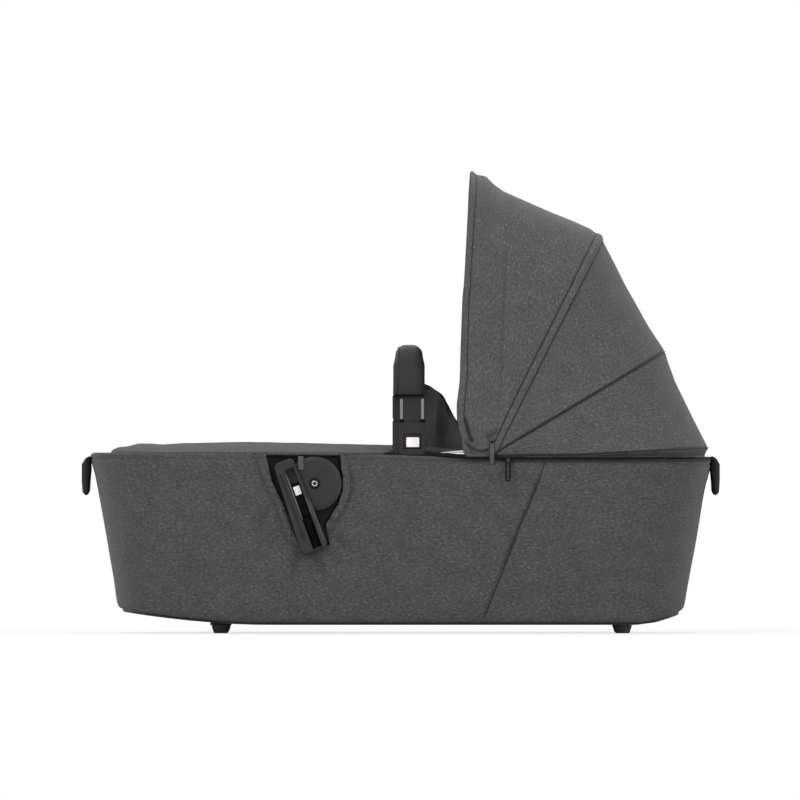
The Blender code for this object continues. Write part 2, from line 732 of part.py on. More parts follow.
def make_cover():
    """Fabric cover: turned-under hem on the tray's lip, taut wall and a rolled bead at the rim."""
    hem_inner = TRAY_NECK_INSET - HEM_END_SETBACK
    rings = [tub_ring(0.0, TRAY_LIP_INSET, COVER_HEM_HEIGHT),
             tub_ring(0.0, TRAY_LIP_INSET / 4.0, COVER_HEM_HEIGHT + COVER_HEM_TURN),
             tub_ring(0.0, 0.0, COVER_TURN_HEIGHT)]
    rings += [tub_ring(share, 0.0) for share in COVER_LEVEL_SHARES]
    rings.append(tub_ring(1.0, 0.0, -COVER_BEAD_HEIGHT))
    rings.append(tub_ring(1.0, COVER_BEAD_WIDTH * BEAD_EDGE_SHARE, COVER_BEAD_RISE * BEAD_SHOULDER_SHARE))
    rings.append(tub_ring(1.0, COVER_BEAD_WIDTH * BEAD_CROWN_SHARE, COVER_BEAD_RISE))
    rings.append(tub_ring(1.0, COVER_BEAD_WIDTH, COVER_BEAD_RISE * BEAD_SHOULDER_SHARE))
    rings.append(tub_ring(1.0, COVER_BEAD_WIDTH, -COVER_BEAD_HEIGHT / 2.0))
    rings.append(tub_ring(1.0, COVER_THICKNESS, -COVER_BEAD_HEIGHT / 2.0))
    rings += [tub_ring(share, COVER_THICKNESS) for share in reversed(COVER_LEVEL_SHARES)]
    rings.append(tub_ring(0.0, COVER_THICKNESS, COVER_TURN_HEIGHT + GAP))
    rings.append(tub_ring(0.0, TRAY_LIP_INSET / 4.0 + COVER_THICKNESS,
                          COVER_HEM_HEIGHT + COVER_HEM_TURN + COVER_THICKNESS * HEM_TURN_SHARE))
    rings.append(tub_ring(0.0, hem_inner, COVER_HEM_HEIGHT + COVER_THICKNESS))
    cover = add_object("tub_cover", *loft(rings, cyclic=True), CHARCOAL, 0.95)
    for name, side in SIDES:
        use_tool(cover, recess_tool(side, "cover_" + name))
        use_tool(cover, recess_piping(name, side), "UNION")
    for end, name in ((-1.0, "foot"), (1.0, "head")):
        use_tool(cover, grip_slot_tool(end, "cover_slot_tool_" + name, GAP))


def board_grid(first, last, inset):
    """Rows of wall points between two places on the plan outline."""
    low = BOARD_FOOT_HEIGHT
    drop = COVER_BEAD_HEIGHT / 2.0 + GAP
    rows = []
    for share in BOARD_LEVEL_SHARES:
        ring = tub_ring(share, inset, mix(low, -drop, share))
        count = len(ring)
        row = [ring[index % count] for index in range(first, last + 1)]
        start = (row[1] - row[0]).normalized() * GAP
        end = (row[-2] - row[-1]).normalized() * GAP
        rows.append([row[0] + start] + row[1:-1] + [row[-1] + end])
    return rows


def make_boards():
    """Thin stiffening boards between cover and lining: two sides and two rounded ends."""
    boards = {}
    last = END_STEPS
    for name, steps in (("side_board_right", SIDE_STEPS), ("foot_board", 2 * END_STEPS),
                        ("side_board_left", SIDE_STEPS), ("head_board", 2 * END_STEPS)):
        first = last
        last = first + steps
        outer = board_grid(first, last, BOARD_INSET)
        inner = board_grid(first, last, BOARD_INSET + BOARD_THICKNESS)
        boards[name] = add_object(name, *two_sided(outer, inner), BOARD_GREY, 0.8)
    for name, side in SIDES:
        use_tool(boards["side_board_" + name], recess_tool(side, "board_" + name))
    use_tool(boards["foot_board"], grip_slot_tool(-1.0, "board_slot_tool_foot", GAP))
    use_tool(boards["head_board"], grip_slot_tool(1.0, "board_slot_tool_head", GAP))


def make_rim_frame():
    """Moulded frame round the rim in two halves, which the hood hubs join, with pockets for the brackets."""
    inner = FRAME_INSET + FRAME_WIDTH
    low = -FRAME_HEIGHT
    rings = [tub_ring(1.0, FRAME_INSET, low + FRAME_CHAMFER),
             tub_ring(1.0, FRAME_INSET, -FRAME_CHAMFER),
             tub_ring(1.0, FRAME_INSET + FRAME_CHAMFER / 2.0),
             tub_ring(1.0, inner - FRAME_CHAMFER),
             tub_ring(1.0, inner, -FRAME_CHAMFER),
             tub_ring(1.0, inner, low + FRAME_CHAMFER),
             tub_ring(1.0, inner - FRAME_CHAMFER, low),
             tub_ring(1.0, FRAME_INSET + FRAME_CHAMFER, low)]
    far = TUB_WIDTH_TOP / 2.0 + OVERRUN
    under, over = RIM_HEIGHT - FRAME_HEIGHT - OVERRUN, RIM_HEIGHT + OVERRUN
    outline = recess_outline()
    pockets = []
    for _, side in SIDES:
        edges = sorted((side * (HOUSING_FACE_Y - HOUSING_THICKNESS - GAP), side * far))
        pockets.append(box((outline[0][0] - GAP, edges[0], under), (outline[-1][0] + OVERRUN, edges[1], over)))
    pockets.append(box((PIVOT_X - HUB_FOOT_REACH - GAP, -far, under), (TUB_LENGTH_TOP, far, over)))
    foot_half = add_object("rim_frame_foot", *loft(rings, cyclic=True), BLACK, 0.5)
    use_tool(foot_half, add_object("frame_foot_tool", *join_parts(pockets)))
    head_half = add_object("rim_frame_head", *loft(rings, cyclic=True), BLACK, 0.5)
    use_tool(head_half, add_object("frame_head_tool", *box((-TUB_LENGTH_TOP, -far, under),
                                                           (PIVOT_X + HUB_HEAD_REACH + GAP, far, over))))


def make_bed():
    """Base board on the tray's ribs, sewn lining and mattress."""
    low = RIB_TOP + GAP
    high = low + BASE_BOARD_THICKNESS
    add_object("base_board", *loft([level_ring(low, BASE_BOARD_INSET), level_ring(high, BASE_BOARD_INSET)]),
               BOARD_GREY, 0.8)

    floor = high + GAP
    inner = LINING_INSET + LINING_THICKNESS
    rings = [level_ring(floor, LINING_INSET + LINING_CORNER)]
    rings += [tub_ring(share, LINING_INSET) for share in LINING_LEVEL_SHARES]
    rings += [tub_ring(share, inner) for share in reversed(LINING_LEVEL_SHARES)]
    rings.append(level_ring(floor + LINING_THICKNESS, inner + LINING_CORNER))
    add_object("lining", *loft(rings), LINING_GREY, 0.95)

    bottom = floor + LINING_THICKNESS + GAP
    edge = inner + MATTRESS_CLEARANCE
    outline = level_ring(bottom + MATTRESS_THICKNESS / 2.0, edge)
    rings = []
    for rise, scale in MATTRESS_SIDE_SHARES + MATTRESS_TOP_SHARES:
        height = bottom + MATTRESS_THICKNESS * rise
        rings.append([Vector((point.x * scale, point.y * scale, height)) for point in outline])
    add_object("mattress", *loft(rings), MATTRESS_WHITE, 0.95)


def apron_front(share):
    """A point on the apron's curved front edge, for a share from -1 to 1 across the tub."""
    bend = abs(share) ** APRON_FRONT_EXPONENT
    return mix(APRON_FRONT_X, APRON_TIP_X, bend), APRON_NOTCH_WIDTH / 2.0 * share


def apron_outline():
    """The apron in plan: the foot end of the rim, a notch round each handle foot and the front edge."""
    half_length = TUB_LENGTH_TOP / 2.0 - APRON_END_INSET
    half_width = TUB_WIDTH_TOP / 2.0 - APRON_SIDE_INSET
    ring = plan_ring(half_length, half_width, TUB_END_DEPTH - APRON_END_INSET)
    foot = [point for point in ring if point[0] < APRON_NOTCH_X]
    foot = [(APRON_NOTCH_X, half_width)] + foot + [(APRON_NOTCH_X, -half_width)]
    edge = APRON_NOTCH_WIDTH / 2.0
    right = [(mix(APRON_TIP_X, APRON_NOTCH_X, share), edge) for share in APRON_NOTCH_SHARES]
    left = [(x, -y) for x, y in reversed(right)]
    steps = [1.0 - 2.0 * step / APRON_FRONT_STEPS for step in range(APRON_FRONT_STEPS + 1)]
    front = [apron_front(-share) for share in steps]
    return front + right + [(APRON_NOTCH_X, edge)] + foot + [(APRON_NOTCH_X, -edge)] + left


def apron_top(x, y):
    """Height of the apron's upper side."""
    half_width = TUB_WIDTH_TOP / 2.0 - APRON_SIDE_INSET
    start = -TUB_LENGTH_TOP / 2.0 + APRON_END_INSET
    run = min(max((x - start) / APRON_CROWN_RUN, 0.0), 1.0)
    across = min(abs(y) / half_width, 1.0)
    lift = APRON_CROWN * math.sin(run * math.pi / 2.0) * (1.0 - across ** APRON_CROWN_EXPONENT)
    return RIM_HEIGHT + APRON_EDGE_RISE + lift


def make_apron():
    """Domed apron that lies on the rim and covers the foot half."""
    outline = apron_outline()
    centre = mix(-TUB_LENGTH_TOP / 2.0, APRON_TIP_X, APRON_CENTRE_SHARE)
    rings = []
    for share in reversed(APRON_RING_SHARES):
        row = [(centre + (x - centre) * share, y * share) for x, y in outline]
        rings.append([Vector((x, y, apron_top(x, y))) for x, y in row])
    for share in APRON_RING_SHARES:
        row = [(centre + (x - centre) * share, y * share) for x, y in outline]
        rings.append([Vector((x, y, apron_top(x, y) - APRON_THICKNESS)) for x, y in row])
    add_object("apron", *loft(rings), CHARCOAL, 0.95)


def make_collar():
    """Wind collar that stands on the apron's front edge, highest in the middle."""
    grid = []
    for row in range(COLLAR_ROWS + 1):
        rise = row / COLLAR_ROWS
        line = []
        for column in range(COLLAR_COLUMNS + 1):
            share = -1.0 + 2.0 * column / COLLAR_COLUMNS
            x, _ = apron_front(share)
            y = COLLAR_SPREAD * share
            reach = (x - APRON_FRONT_X) / (APRON_TIP_X - APRON_FRONT_X)
            height = mix(COLLAR_TIP_HEIGHT, COLLAR_HEIGHT, math.sqrt(max(1.0 - reach ** 2, 0.0)))
            x -= COLLAR_SETBACK
            foot = apron_top(x, y) + 2.0 * GAP
            lean = COLLAR_LEAN * rise ** 2
            line.append(Vector((x + lean, y, foot + height * rise)))
        grid.append(line)
    inner = offset_grid(grid, -COLLAR_THICKNESS)
    for inner_line, line in zip(inner, grid):
        for point, source in zip(inner_line, line):
            point.z = source.z
    add_object("apron_collar", *two_sided(grid, inner), DARK_GREY, 0.9)


def make_end_grips():
    """Hook-shaped grip at each end, held by a tab that reaches the rim frame."""
    face = TUB_LENGTH_TOP / 2.0 + GAP
    for end, name in ((-1.0, "foot"), (1.0, "head")):
        outline = [(face + GRIP_REACH * out, GRIP_TOP - GRIP_LENGTH * down)
                   for out, down in GRIP_OUTLINE_SHARES]
        half = GRIP_WIDTH / 2.0
        rings = [[Vector((end * x, y, z)) for x, z in outline] for y in (-half, half)]
        grip = add_object("end_grip_" + name, *loft(rings), BLACK, 0.5)
        bevel(grip, GRIP_BEVEL, 1, 60.0)
        use_tool(grip, grip_slot_tool(end, "grip_tab_tool_" + name, 0.0), "UNION")


def arm_point(across, along):
    """A place on the tilted chassis bracket in the side view."""
    return (ARM_TOP_X + across * math.cos(ARM_TILT) + along * math.sin(ARM_TILT),
            ARM_TOP_Z + across * math.sin(ARM_TILT) - along * math.cos(ARM_TILT))


def arm_box(left, right, start, end, near, far, side):
    """Block between four edges of the tilted bracket and two distances from the centre plane."""
    outline = [arm_point(left, start), arm_point(right, start), arm_point(right, end), arm_point(left, end)]
    return side_prism(outline, near, far, side)


def arm_outline():
    """Outline of the bracket with its corners cut."""
    low = ARM_LENGTH
    cut = ARM_CORNER
    top = ARM_TOP_HALF
    bottom = ARM_BOTTOM_HALF
    corners = [(-top + cut, 0.0), (top - cut, 0.0), (top, cut), (bottom, low - cut),
               (bottom - cut, low), (-bottom + cut, low), (-bottom, low - cut), (-top, cut)]
    return [arm_point(across, along) for across, along in corners]


def make_chassis_bracket(name, side):
    """Housing in the recess, pivot disc with its bolt, tilted bracket with a sprung latch."""
    housing = [(x, min(z, RIM_HEIGHT - HOUSING_TOP_DROP)) for x, z in
               inset_outline(recess_outline(), HOUSING_MARGIN)]
    back = HOUSING_FACE_Y - HOUSING_THICKNESS
    plate = add_object("adapter_housing_" + name, *side_prism(housing, back, HOUSING_FACE_Y, side),
                       DARK_GREY, 0.55)
    bevel(plate, HOUSING_BEVEL)

    near = HOUSING_FACE_Y + GAP
    far = near + DISC_THICKNESS
    centre = Vector((DISC_X, 0.0, DISC_Z))
    disc = add_object("adapter_disc_" + name,
                      *turned(centre, ((DISC_RADIUS, side * near), (DISC_RADIUS, side * (far - DISC_RIM_DROP)),
                                       (DISC_RADIUS - DISC_RIM, side * far),
                                       (DISC_BORE_RADIUS, side * far),
                                       (DISC_BORE_RADIUS, side * (far - DISC_BORE_DEPTH))),
                              "Y", DISC_STEPS),
                      DARK_GREY, 0.45)
    clear = inset_outline(arm_outline(), -GAP)
    use_tool(disc, add_object("disc_side_tool_" + name,
                              *side_prism(clear, near - OVERRUN, far + OVERRUN, side)))
    hole = BOLT_RADIUS + GAP
    deep = back - OVERRUN
    for item, label in ((disc, "disc"), (plate, "plate")):
        tool = add_object(label + "_bolt_tool_" + name,
                          *turned(centre, ((hole, side * deep), (hole, side * (far + OVERRUN))), "Y"))
        use_tool(item, tool)

    seat = far - DISC_BORE_DEPTH + GAP
    crown = seat + BOLT_HEAD_HEIGHT
    add_object("adapter_bolt_" + name,
               *turned(centre, ((BOLT_RADIUS, side * back), (BOLT_RADIUS, side * seat),
                                (BOLT_HEAD_RADIUS, side * seat),
                                (BOLT_HEAD_RADIUS, side * (crown - BOLT_HEAD_HEIGHT / 3.0)),
                                (BOLT_HEAD_RADIUS - BOLT_HEAD_HEIGHT / 3.0, side * crown),
                                (BOLT_SOCKET_RADIUS, side * crown),
                                (BOLT_SOCKET_RADIUS, side * (crown - BOLT_SOCKET_DEPTH))),
                       "Y", 12),
               STEEL, 0.3, 1.0)

    top = near + ARM_DEPTH
    arm = add_object("adapter_arm_" + name, *side_prism(arm_outline(), near, top, side), DARK_GREY, 0.5)
    bevel(arm, ARM_BEVEL)
    left = CHANNEL_CENTRE - CHANNEL_WIDTH / 2.0
    right = CHANNEL_CENTRE + CHANNEL_WIDTH / 2.0
    floor = near + ARM_FLOOR
    seat_end = LATCH_START + LATCH_LENGTH + LATCH_SEAT_MARGIN
    seat_floor = floor - LATCH_SEAT
    cuts = [arm_box(left, right, CHANNEL_START, ARM_LENGTH + OVERRUN, floor, top + OVERRUN, side),
            arm_box(-GROOVE_OFFSET - GROOVE_WIDTH / 2.0, -GROOVE_OFFSET + GROOVE_WIDTH / 2.0,
                    GROOVE_START, GROOVE_END, top - GROOVE_DEPTH, top + OVERRUN, side)]
    use_tool(arm, add_object("arm_channel_tool_" + name, *join_parts(cuts)))
    use_tool(arm, add_object("arm_seat_tool_" + name, *arm_box(left, right, CHANNEL_START, seat_end,
                                                               seat_floor, top + OVERRUN, side)))

    latch_floor = seat_floor + GAP
    origin = Vector((*arm_point(CHANNEL_CENTRE, LATCH_START), side * latch_floor)).xzy
    latch_top = latch_floor + LATCH_THICKNESS
    latch = add_object("latch_" + name,
                       *arm_box(left + GAP, right - GAP, LATCH_START, LATCH_START + LATCH_LENGTH,
                                latch_floor, latch_top, side), BLACK, 0.4)
    move_origin(latch, origin)
    bevel(latch, LATCH_BEVEL)


def block_top():
    """Height of the handle block's top face."""
    return RIM_HEIGHT + GAP + BLOCK_HEIGHT


def hinge_place():
    """Handle's fold axis in the side view, at the centre of the rounded corner of its legs."""
    return HANDLE_LEFT_X + KNUCKLE_RADIUS, block_top() + GAP + KNUCKLE_RADIUS


def handle_plan():
    """Handle foot in plan, as (x, distance from the centre plane), with a step at its foot-end side."""
    right = HANDLE_LEFT_X + HANDLE_WIDTH
    inner = HANDLE_OUTER_Y - HANDLE_DEPTH
    step = HANDLE_OUTER_Y - HANDLE_STEP_DEPTH
    edge = HANDLE_LEFT_X + HANDLE_STEP_X
    return [(HANDLE_LEFT_X, inner), (right, inner), (right, HANDLE_OUTER_Y),
            (edge, HANDLE_OUTER_Y), (edge, step), (HANDLE_LEFT_X, step)]


def make_handle_foot(name, side):
    """Block on the rim with its hinge ear, release button and pin."""
    hinge_x, hinge_z = hinge_place()
    low = RIM_HEIGHT + GAP
    rings = [[Vector((x, side * y, z)) for x, y in handle_plan()] for z in (low, block_top())]
    block = add_object("handle_block_" + name, *loft(rings), BLACK, 0.5)
    bevel(block, HANDLE_BEVEL / 2.0)
    ear_near = HANDLE_OUTER_Y - HANDLE_DEPTH + EAR_INSET_Y
    arc = [math.radians(-20.0 + 20.0 * step) for step in range(11)]
    ear = [(hinge_x + EAR_RADIUS * math.cos(a), hinge_z + EAR_RADIUS * math.sin(a)) for a in arc]
    ear += [(hinge_x - EAR_NECK, block_top() - SEAT_OVERLAP), (hinge_x + EAR_NECK, block_top() - SEAT_OVERLAP)]
    ear_tool = add_object("ear_tool_" + name, *side_prism(ear, ear_near, ear_near + EAR_WIDTH, side))
    use_tool(block, ear_tool, "UNION")

    centre = Vector((hinge_x, 0.0, hinge_z))
    pin_near = HANDLE_OUTER_Y - HANDLE_DEPTH + PIN_INSET_Y
    pin_far = pin_near + PIN_LENGTH
    hole = PIN_RADIUS + GAP
    use_tool(block, add_object("block_pin_tool_" + name,
                               *turned(centre, ((hole, side * (ear_near - OVERRUN)),
                                                (hole, side * (pin_far + GAP))), "Y")))
    add_object("handle_pin_" + name,
               *turned(centre, ((PIN_RADIUS, side * pin_near), (PIN_RADIUS, side * pin_far)), "Y", 12),
               STEEL, 0.3, 1.0)

    left = BUTTON_X - BUTTON_WIDTH / 2.0
    right = BUTTON_X + BUTTON_WIDTH / 2.0
    bottom = low + BUTTON_DROP
    top = bottom + BUTTON_HEIGHT
    face = HANDLE_OUTER_Y + BUTTON_PROUD
    back = face - BUTTON_DEPTH
    pocket = [(left - GAP, bottom - GAP), (right + GAP, bottom - GAP),
              (right + GAP, top + GAP), (left - GAP, top + GAP)]
    use_tool(block, add_object("button_pocket_tool_" + name,
                               *side_prism(pocket, back - BUTTON_TRAVEL - GAP, face + OVERRUN, side)))
    outline = [(left, bottom), (right, bottom), (right, top), (left, top)]
    origin = Vector((BUTTON_X, side * face, (bottom + top) / 2.0))
    button = add_object("handle_button_" + name, *side_prism(outline, back, face, side), BLACK, 0.45)
    move_origin(button, origin)
    bevel(button, BUTTON_BEVEL)


def bar_y():
    """Distance of the handle bar's legs from the centre plane."""
    return HANDLE_OUTER_Y - HANDLE_DEPTH / 2.0


def make_handle_leg(name, side):
    """Moulded leg end that turns on the hinge and takes the bar."""
    hinge_x, hinge_z = hinge_place()
    low = block_top() + GAP
    high = low + LEG_HEIGHT
    right = HANDLE_LEFT_X + HANDLE_WIDTH
    inner = HANDLE_OUTER_Y - HANDLE_DEPTH
    arc = [math.radians(180.0 + 15.0 * step) for step in range(7)]
    outline = [(hinge_x + KNUCKLE_RADIUS * math.cos(a), hinge_z + KNUCKLE_RADIUS * math.sin(a)) for a in arc]
    outline += [(right, low), (right, high), (HANDLE_LEFT_X, high)]
    leg = add_object("handle_leg_" + name, *side_prism(outline, inner, HANDLE_OUTER_Y, side), BLACK, 0.5)
    rails = []
    for start in (RAIL_LEFT, RAIL_RIGHT):
        x = HANDLE_LEFT_X + start
        rail = [(x, low + RAIL_START), (x + RAIL_WIDTH, low + RAIL_START),
                (x + RAIL_WIDTH, low + RAIL_START + RAIL_LENGTH), (x, low + RAIL_START + RAIL_LENGTH)]
        rails.append(side_prism(rail, HANDLE_OUTER_Y - RAIL_HEIGHT, HANDLE_OUTER_Y + RAIL_HEIGHT, side))
    use_tool(leg, add_object("leg_rail_tool_" + name, *join_parts(rails)), "UNION")

    step_far = HANDLE_OUTER_Y + OVERRUN
    edge = HANDLE_LEFT_X + HANDLE_STEP_X
    step = [(HANDLE_LEFT_X - OVERRUN, low - OVERRUN), (edge, low - OVERRUN),
            (edge, high + OVERRUN), (HANDLE_LEFT_X - OVERRUN, high + OVERRUN)]
    ear_near = inner + EAR_INSET_Y
    reach = NOTCH_REACH
    notch = [(hinge_x - reach, hinge_z - reach), (hinge_x + KNUCKLE_RADIUS, hinge_z - reach),
             (hinge_x + KNUCKLE_RADIUS, hinge_z + KNUCKLE_RADIUS), (hinge_x - reach, hinge_z + KNUCKLE_RADIUS)]
    use_tool(leg, add_object("leg_step_tool_" + name,
                             *side_prism(step, HANDLE_OUTER_Y - HANDLE_STEP_DEPTH, step_far, side)))
    use_tool(leg, add_object("leg_notch_tool_" + name,
                             *side_prism(notch, ear_near - GAP, ear_near + EAR_WIDTH + GAP, side)))
    hole = PIN_RADIUS + GAP
    pin_near = inner + PIN_INSET_Y - GAP
    pin_far = inner + PIN_INSET_Y + PIN_LENGTH + GAP
    use_tool(leg, add_object("leg_pin_tool_" + name,
                             *turned(Vector((hinge_x, 0.0, hinge_z)),
                                     ((hole, side * pin_near), (hole, side * pin_far)), "Y")))
    middle = HANDLE_LEFT_X + HANDLE_WIDTH / 2.0
    half = BAR_WIDTH / 2.0 + GAP
    thick = BAR_THICKNESS / 2.0 + GAP
    edges = sorted((side * (bar_y() - thick), side * (bar_y() + thick)))
    use_tool(leg, add_object("leg_bar_tool_" + name,
                             *box((middle - half, edges[0], high - BAR_SEAT - GAP),
                                  (middle + half, edges[1], high + OVERRUN))))
    move_origin(leg, Vector((hinge_x, side * HANDLE_OUTER_Y, hinge_z)))


def handle_path(start):
    """Centre line of the handle bar as (y, z, outward y, outward z) from one leg to the other."""
    top = HANDLE_TOP - HANDLE_DEPTH / 2.0
    corner_z = top - BAR_CORNER_RADIUS
    corner_y = bar_y() - BAR_CORNER_RADIUS
    path = [(-bar_y(), start, -1.0, 0.0)]
    for step in range(CORNER_STEPS + 1):
        angle = math.pi / 2.0 * step / CORNER_STEPS
        out_y = -math.cos(angle)
        out_z = math.sin(angle)
        path.append((-corner_y + BAR_CORNER_RADIUS * out_y, corner_z + BAR_CORNER_RADIUS * out_z, out_y, out_z))
    for step in range(1, SPAN_STEPS):
        path.append((mix(-corner_y, corner_y, step / SPAN_STEPS), top, 0.0, 1.0))
    mirrored = [(-y, z, -out_y, out_z) for y, z, out_y, out_z in reversed(path)]
    middle = SPAN_STEPS - 1
    return path + mirrored[middle:]


def rounded_section(width, depth, edge_width, edge_depth, corner_steps=2):
    """Rectangle with elliptical corners as (across, out) pairs."""
    section = []
    for quarter, (sign_x, sign_y) in enumerate(((1.0, 1.0), (-1.0, 1.0), (-1.0, -1.0), (1.0, -1.0))):
        for step in range(corner_steps + 1):
            angle = math.pi / 2.0 * (quarter + step / corner_steps)
            section.append((sign_x * (width / 2.0 - edge_width) + edge_width * math.cos(angle),
                            sign_y * (depth / 2.0 - edge_depth) + edge_depth * math.sin(angle)))
    return section


def sweep_section(path, section, middle):
    """Rings of a section carried along the handle's path."""
    return [[Vector((middle + across, y + out_y * out, z + out_z * out)) for across, out in section]
            for y, z, out_y, out_z in path]


def make_handle_bar():
    """Flat bar bent to a U, and the padded grip sleeve round it."""
    hinge_x, hinge_z = hinge_place()
    middle = HANDLE_LEFT_X + HANDLE_WIDTH / 2.0
    high = block_top() + GAP + LEG_HEIGHT
    origin = Vector((hinge_x, 0.0, hinge_z))
    section = rounded_section(BAR_WIDTH, BAR_THICKNESS, BAR_EDGE, BAR_EDGE)
    bar = add_object("handle_bar", *loft(sweep_section(handle_path(high - BAR_SEAT), section, middle)),
                     MID_GREY, 0.4, 1.0)
    move_origin(bar, origin)
    path = handle_path(high + GAP)
    section = rounded_section(HANDLE_WIDTH, HANDLE_DEPTH, GRIP_EDGE_WIDTH, GRIP_EDGE_DEPTH)
    outer = sweep_section(path, section, middle)
    section = rounded_section(BAR_WIDTH + 2.0 * GAP, BAR_THICKNESS + 2.0 * GAP, BAR_EDGE, BAR_EDGE)
    inner = sweep_section(path, section, middle)
    grip = add_object("handle_grip", *loft(outer + list(reversed(inner)), cyclic=True), DARK_GREY, 0.7)
    move_origin(grip, origin)


def hub_inner_y():
    """Inner face of the hub bracket, which holds three bow eyes between two cheeks."""
    return bow_y(2) - BOW_THICKNESS / 2.0 - (BOW_SPACING - BOW_THICKNESS) - HUB_CHEEK


def bow_y(order):
    """Distance of a bow's legs from the centre plane: 0 front, 1 middle, 2 rear."""
    front = HOOD_HALF_WIDTH - HOOD_FABRIC - BOW_FABRIC_GAP - BOW_THICKNESS / 2.0
    return front - BOW_SPACING * order


def pivot_point(x, y, z):
    """World place of a point given from the hood's pivot."""
    return Vector((PIVOT_X + x, y, PIVOT_Z + z))


def resample(points, count):
    """Spread points evenly along a line, with both ends kept."""
    lengths = [0.0]
    for first, second in zip(points, points[1:]):
        lengths.append(lengths[-1] + (Vector(second) - Vector(first)).length)
    spread = []
    for step in range(count):
        want = lengths[-1] * step / (count - 1)
        index = 0
        while index < len(points) - 2 and lengths[index + 1] < want:
            index += 1
        share = (want - lengths[index]) / (lengths[index + 1] - lengths[index])
        spread.append(Vector(points[index]).lerp(Vector(points[index + 1]), share))
    return spread


def hood_edge(leg, apex, half_width):
    """Line over the hood from its left foot to its right: two legs and a rounded crown."""
    power = 2.0 / HOOD_CROWN_EXPONENT
    leg_points = resample(leg, LEG_STEPS + 1)
    shoulder = leg_points[-1]
    half = [pivot_point(point.x, -half_width, point.y) for point in leg_points]
    for step in range(1, CROWN_STEPS + 1):
        angle = math.pi / 2.0 * step / CROWN_STEPS
        rise = math.sin(angle) ** power
        width = max(math.cos(angle), 0.0) ** power
        spot = shoulder.lerp(Vector(apex), rise)
        half.append(pivot_point(spot.x, -half_width * width, spot.y))
    return half + [Vector((point.x, -point.y, point.z)) for point in reversed(half[:-1])]


def radial(reach, angle):
    """A place at a distance and angle from the pivot."""
    return Vector((reach * math.cos(angle), reach * math.sin(angle)))


def front_edge_line():
    """The hood's front edge, whose legs curl forward from the pivot."""
    leg = [(HOOD_FRONT_HEIGHT * x, HOOD_FRONT_HEIGHT * z) for x, z in FRONT_EDGE_SHARES]
    apex = (HOOD_FRONT_HEIGHT * FRONT_APEX_SHARE, HOOD_FRONT_HEIGHT)
    return hood_edge(leg, apex, HOOD_HALF_WIDTH)


def radial_line(reach, angle, half_width):
    """A hood line whose legs run straight out from the pivot."""
    leg = [radial(HOOD_SKIRT_START, angle), radial(reach - HOOD_SHOULDER, angle)]
    return hood_edge(leg, radial(reach, angle), half_width)


def base_line(lift):
    """The hood's lower edge, which follows the rim round the head end."""
    raised = []
    for point in radial_line(HOOD_BASE_REACH, 0.0, HOOD_HALF_WIDTH):
        run = min(max((point.x - BAND_START_X) / (PIVOT_X + HOOD_BASE_REACH - BAND_START_X), 0.0), 1.0)
        raised.append(point + Vector((0.0, 0.0, HOOD_BASE_RISE + lift * mix(BAND_TAPER_SHARE, 1.0, run))))
    return raised


def hood_panel(name, first, second, colour):
    """Taut fabric between two hood lines, drawn in a little between them."""
    grid = []
    for row in range(PANEL_ROWS + 1):
        line = []
        for start, end in zip(first, second):
            margin = HOOD_SEAM / (end - start).length
            share = mix(margin, 1.0 - margin, row / PANEL_ROWS)
            spot = start.lerp(end, share)
            inward = Vector((PIVOT_X - spot.x, 0.0, PIVOT_Z - spot.z))
            sag = HOOD_SAG * 4.0 * share * (1.0 - share) * min(inward.length / HOOD_FRONT_HEIGHT, 1.0)
            line.append(spot + inward.normalized() * sag)
        grid.append(line)
    inner = offset_grid(grid, -HOOD_FABRIC)
    panel = add_object(name, *two_sided(grid, inner), colour, 0.95)
    move_origin(panel, Vector((PIVOT_X, 0.0, PIVOT_Z)))
    return panel


def bow_sections(leg, apex, order, tilt):
    """Rings of a hood bow: an eye round the pivot, a leg and half of the crown, which can tilt."""
    offset = bow_y(order)
    power = 2.0 / HOOD_CROWN_EXPONENT
    first = (Vector(leg[0])).normalized()
    spots = []
    for share in BOW_EYE_SHARES:
        reach = BOW_EYE_RADIUS * share
        half = math.sqrt(BOW_EYE_RADIUS ** 2 - reach ** 2)
        half = max(half, BOW_WIDTH / 2.0) if share > 0.0 else half
        spots.append((Vector((first.x * reach, -offset, first.y * reach)), half, 0.0))
    neck = first * BOW_EYE_RADIUS * BOW_NECK_SHARE
    for point in resample([neck] + [Vector(point) for point in leg], 2 * LEG_STEPS):
        spots.append((Vector((point.x, -offset, point.y)), BOW_WIDTH / 2.0, 0.0))
    shoulder = Vector(leg[-1])
    for step in range(1, CROWN_STEPS + 1):
        angle = math.pi / 2.0 * step / CROWN_STEPS
        rise = math.sin(angle) ** power
        width = max(math.cos(angle), 0.0) ** power
        spot = shoulder.lerp(Vector(apex), rise)
        spots.append((Vector((spot.x, -offset * width, spot.y)), BOW_WIDTH / 2.0, tilt * rise))
    rings = []
    for index, (spot, half, turn) in enumerate(spots):
        before = spots[max(index - 1, 0)][0]
        after = spots[min(index + 1, len(spots) - 1)][0]
        along = (after - before).normalized()
        if index == len(spots) - 1:
            along = Vector((0.0, 1.0, 0.0))
        flat = Vector((apex[0] - shoulder.x, 0.0, apex[1] - shoulder.y)).normalized()
        across = along.cross(Vector((0.0, 1.0, 0.0)))
        if abs(along.y) > 0.01:
            across = flat.cross(Vector((0.0, 1.0, 0.0)))
        across = (Matrix.Rotation(turn, 3, "Y") @ across).normalized()
        out = across.cross(along).normalized()
        thick = out * BOW_THICKNESS / 2.0
        wide = across * half
        corners = [spot + thick + wide, spot + thick - wide, spot - thick - wide, spot - thick + wide]
        rings.append([pivot_point(corner.x, corner.y, corner.z) for corner in corners])
    return rings


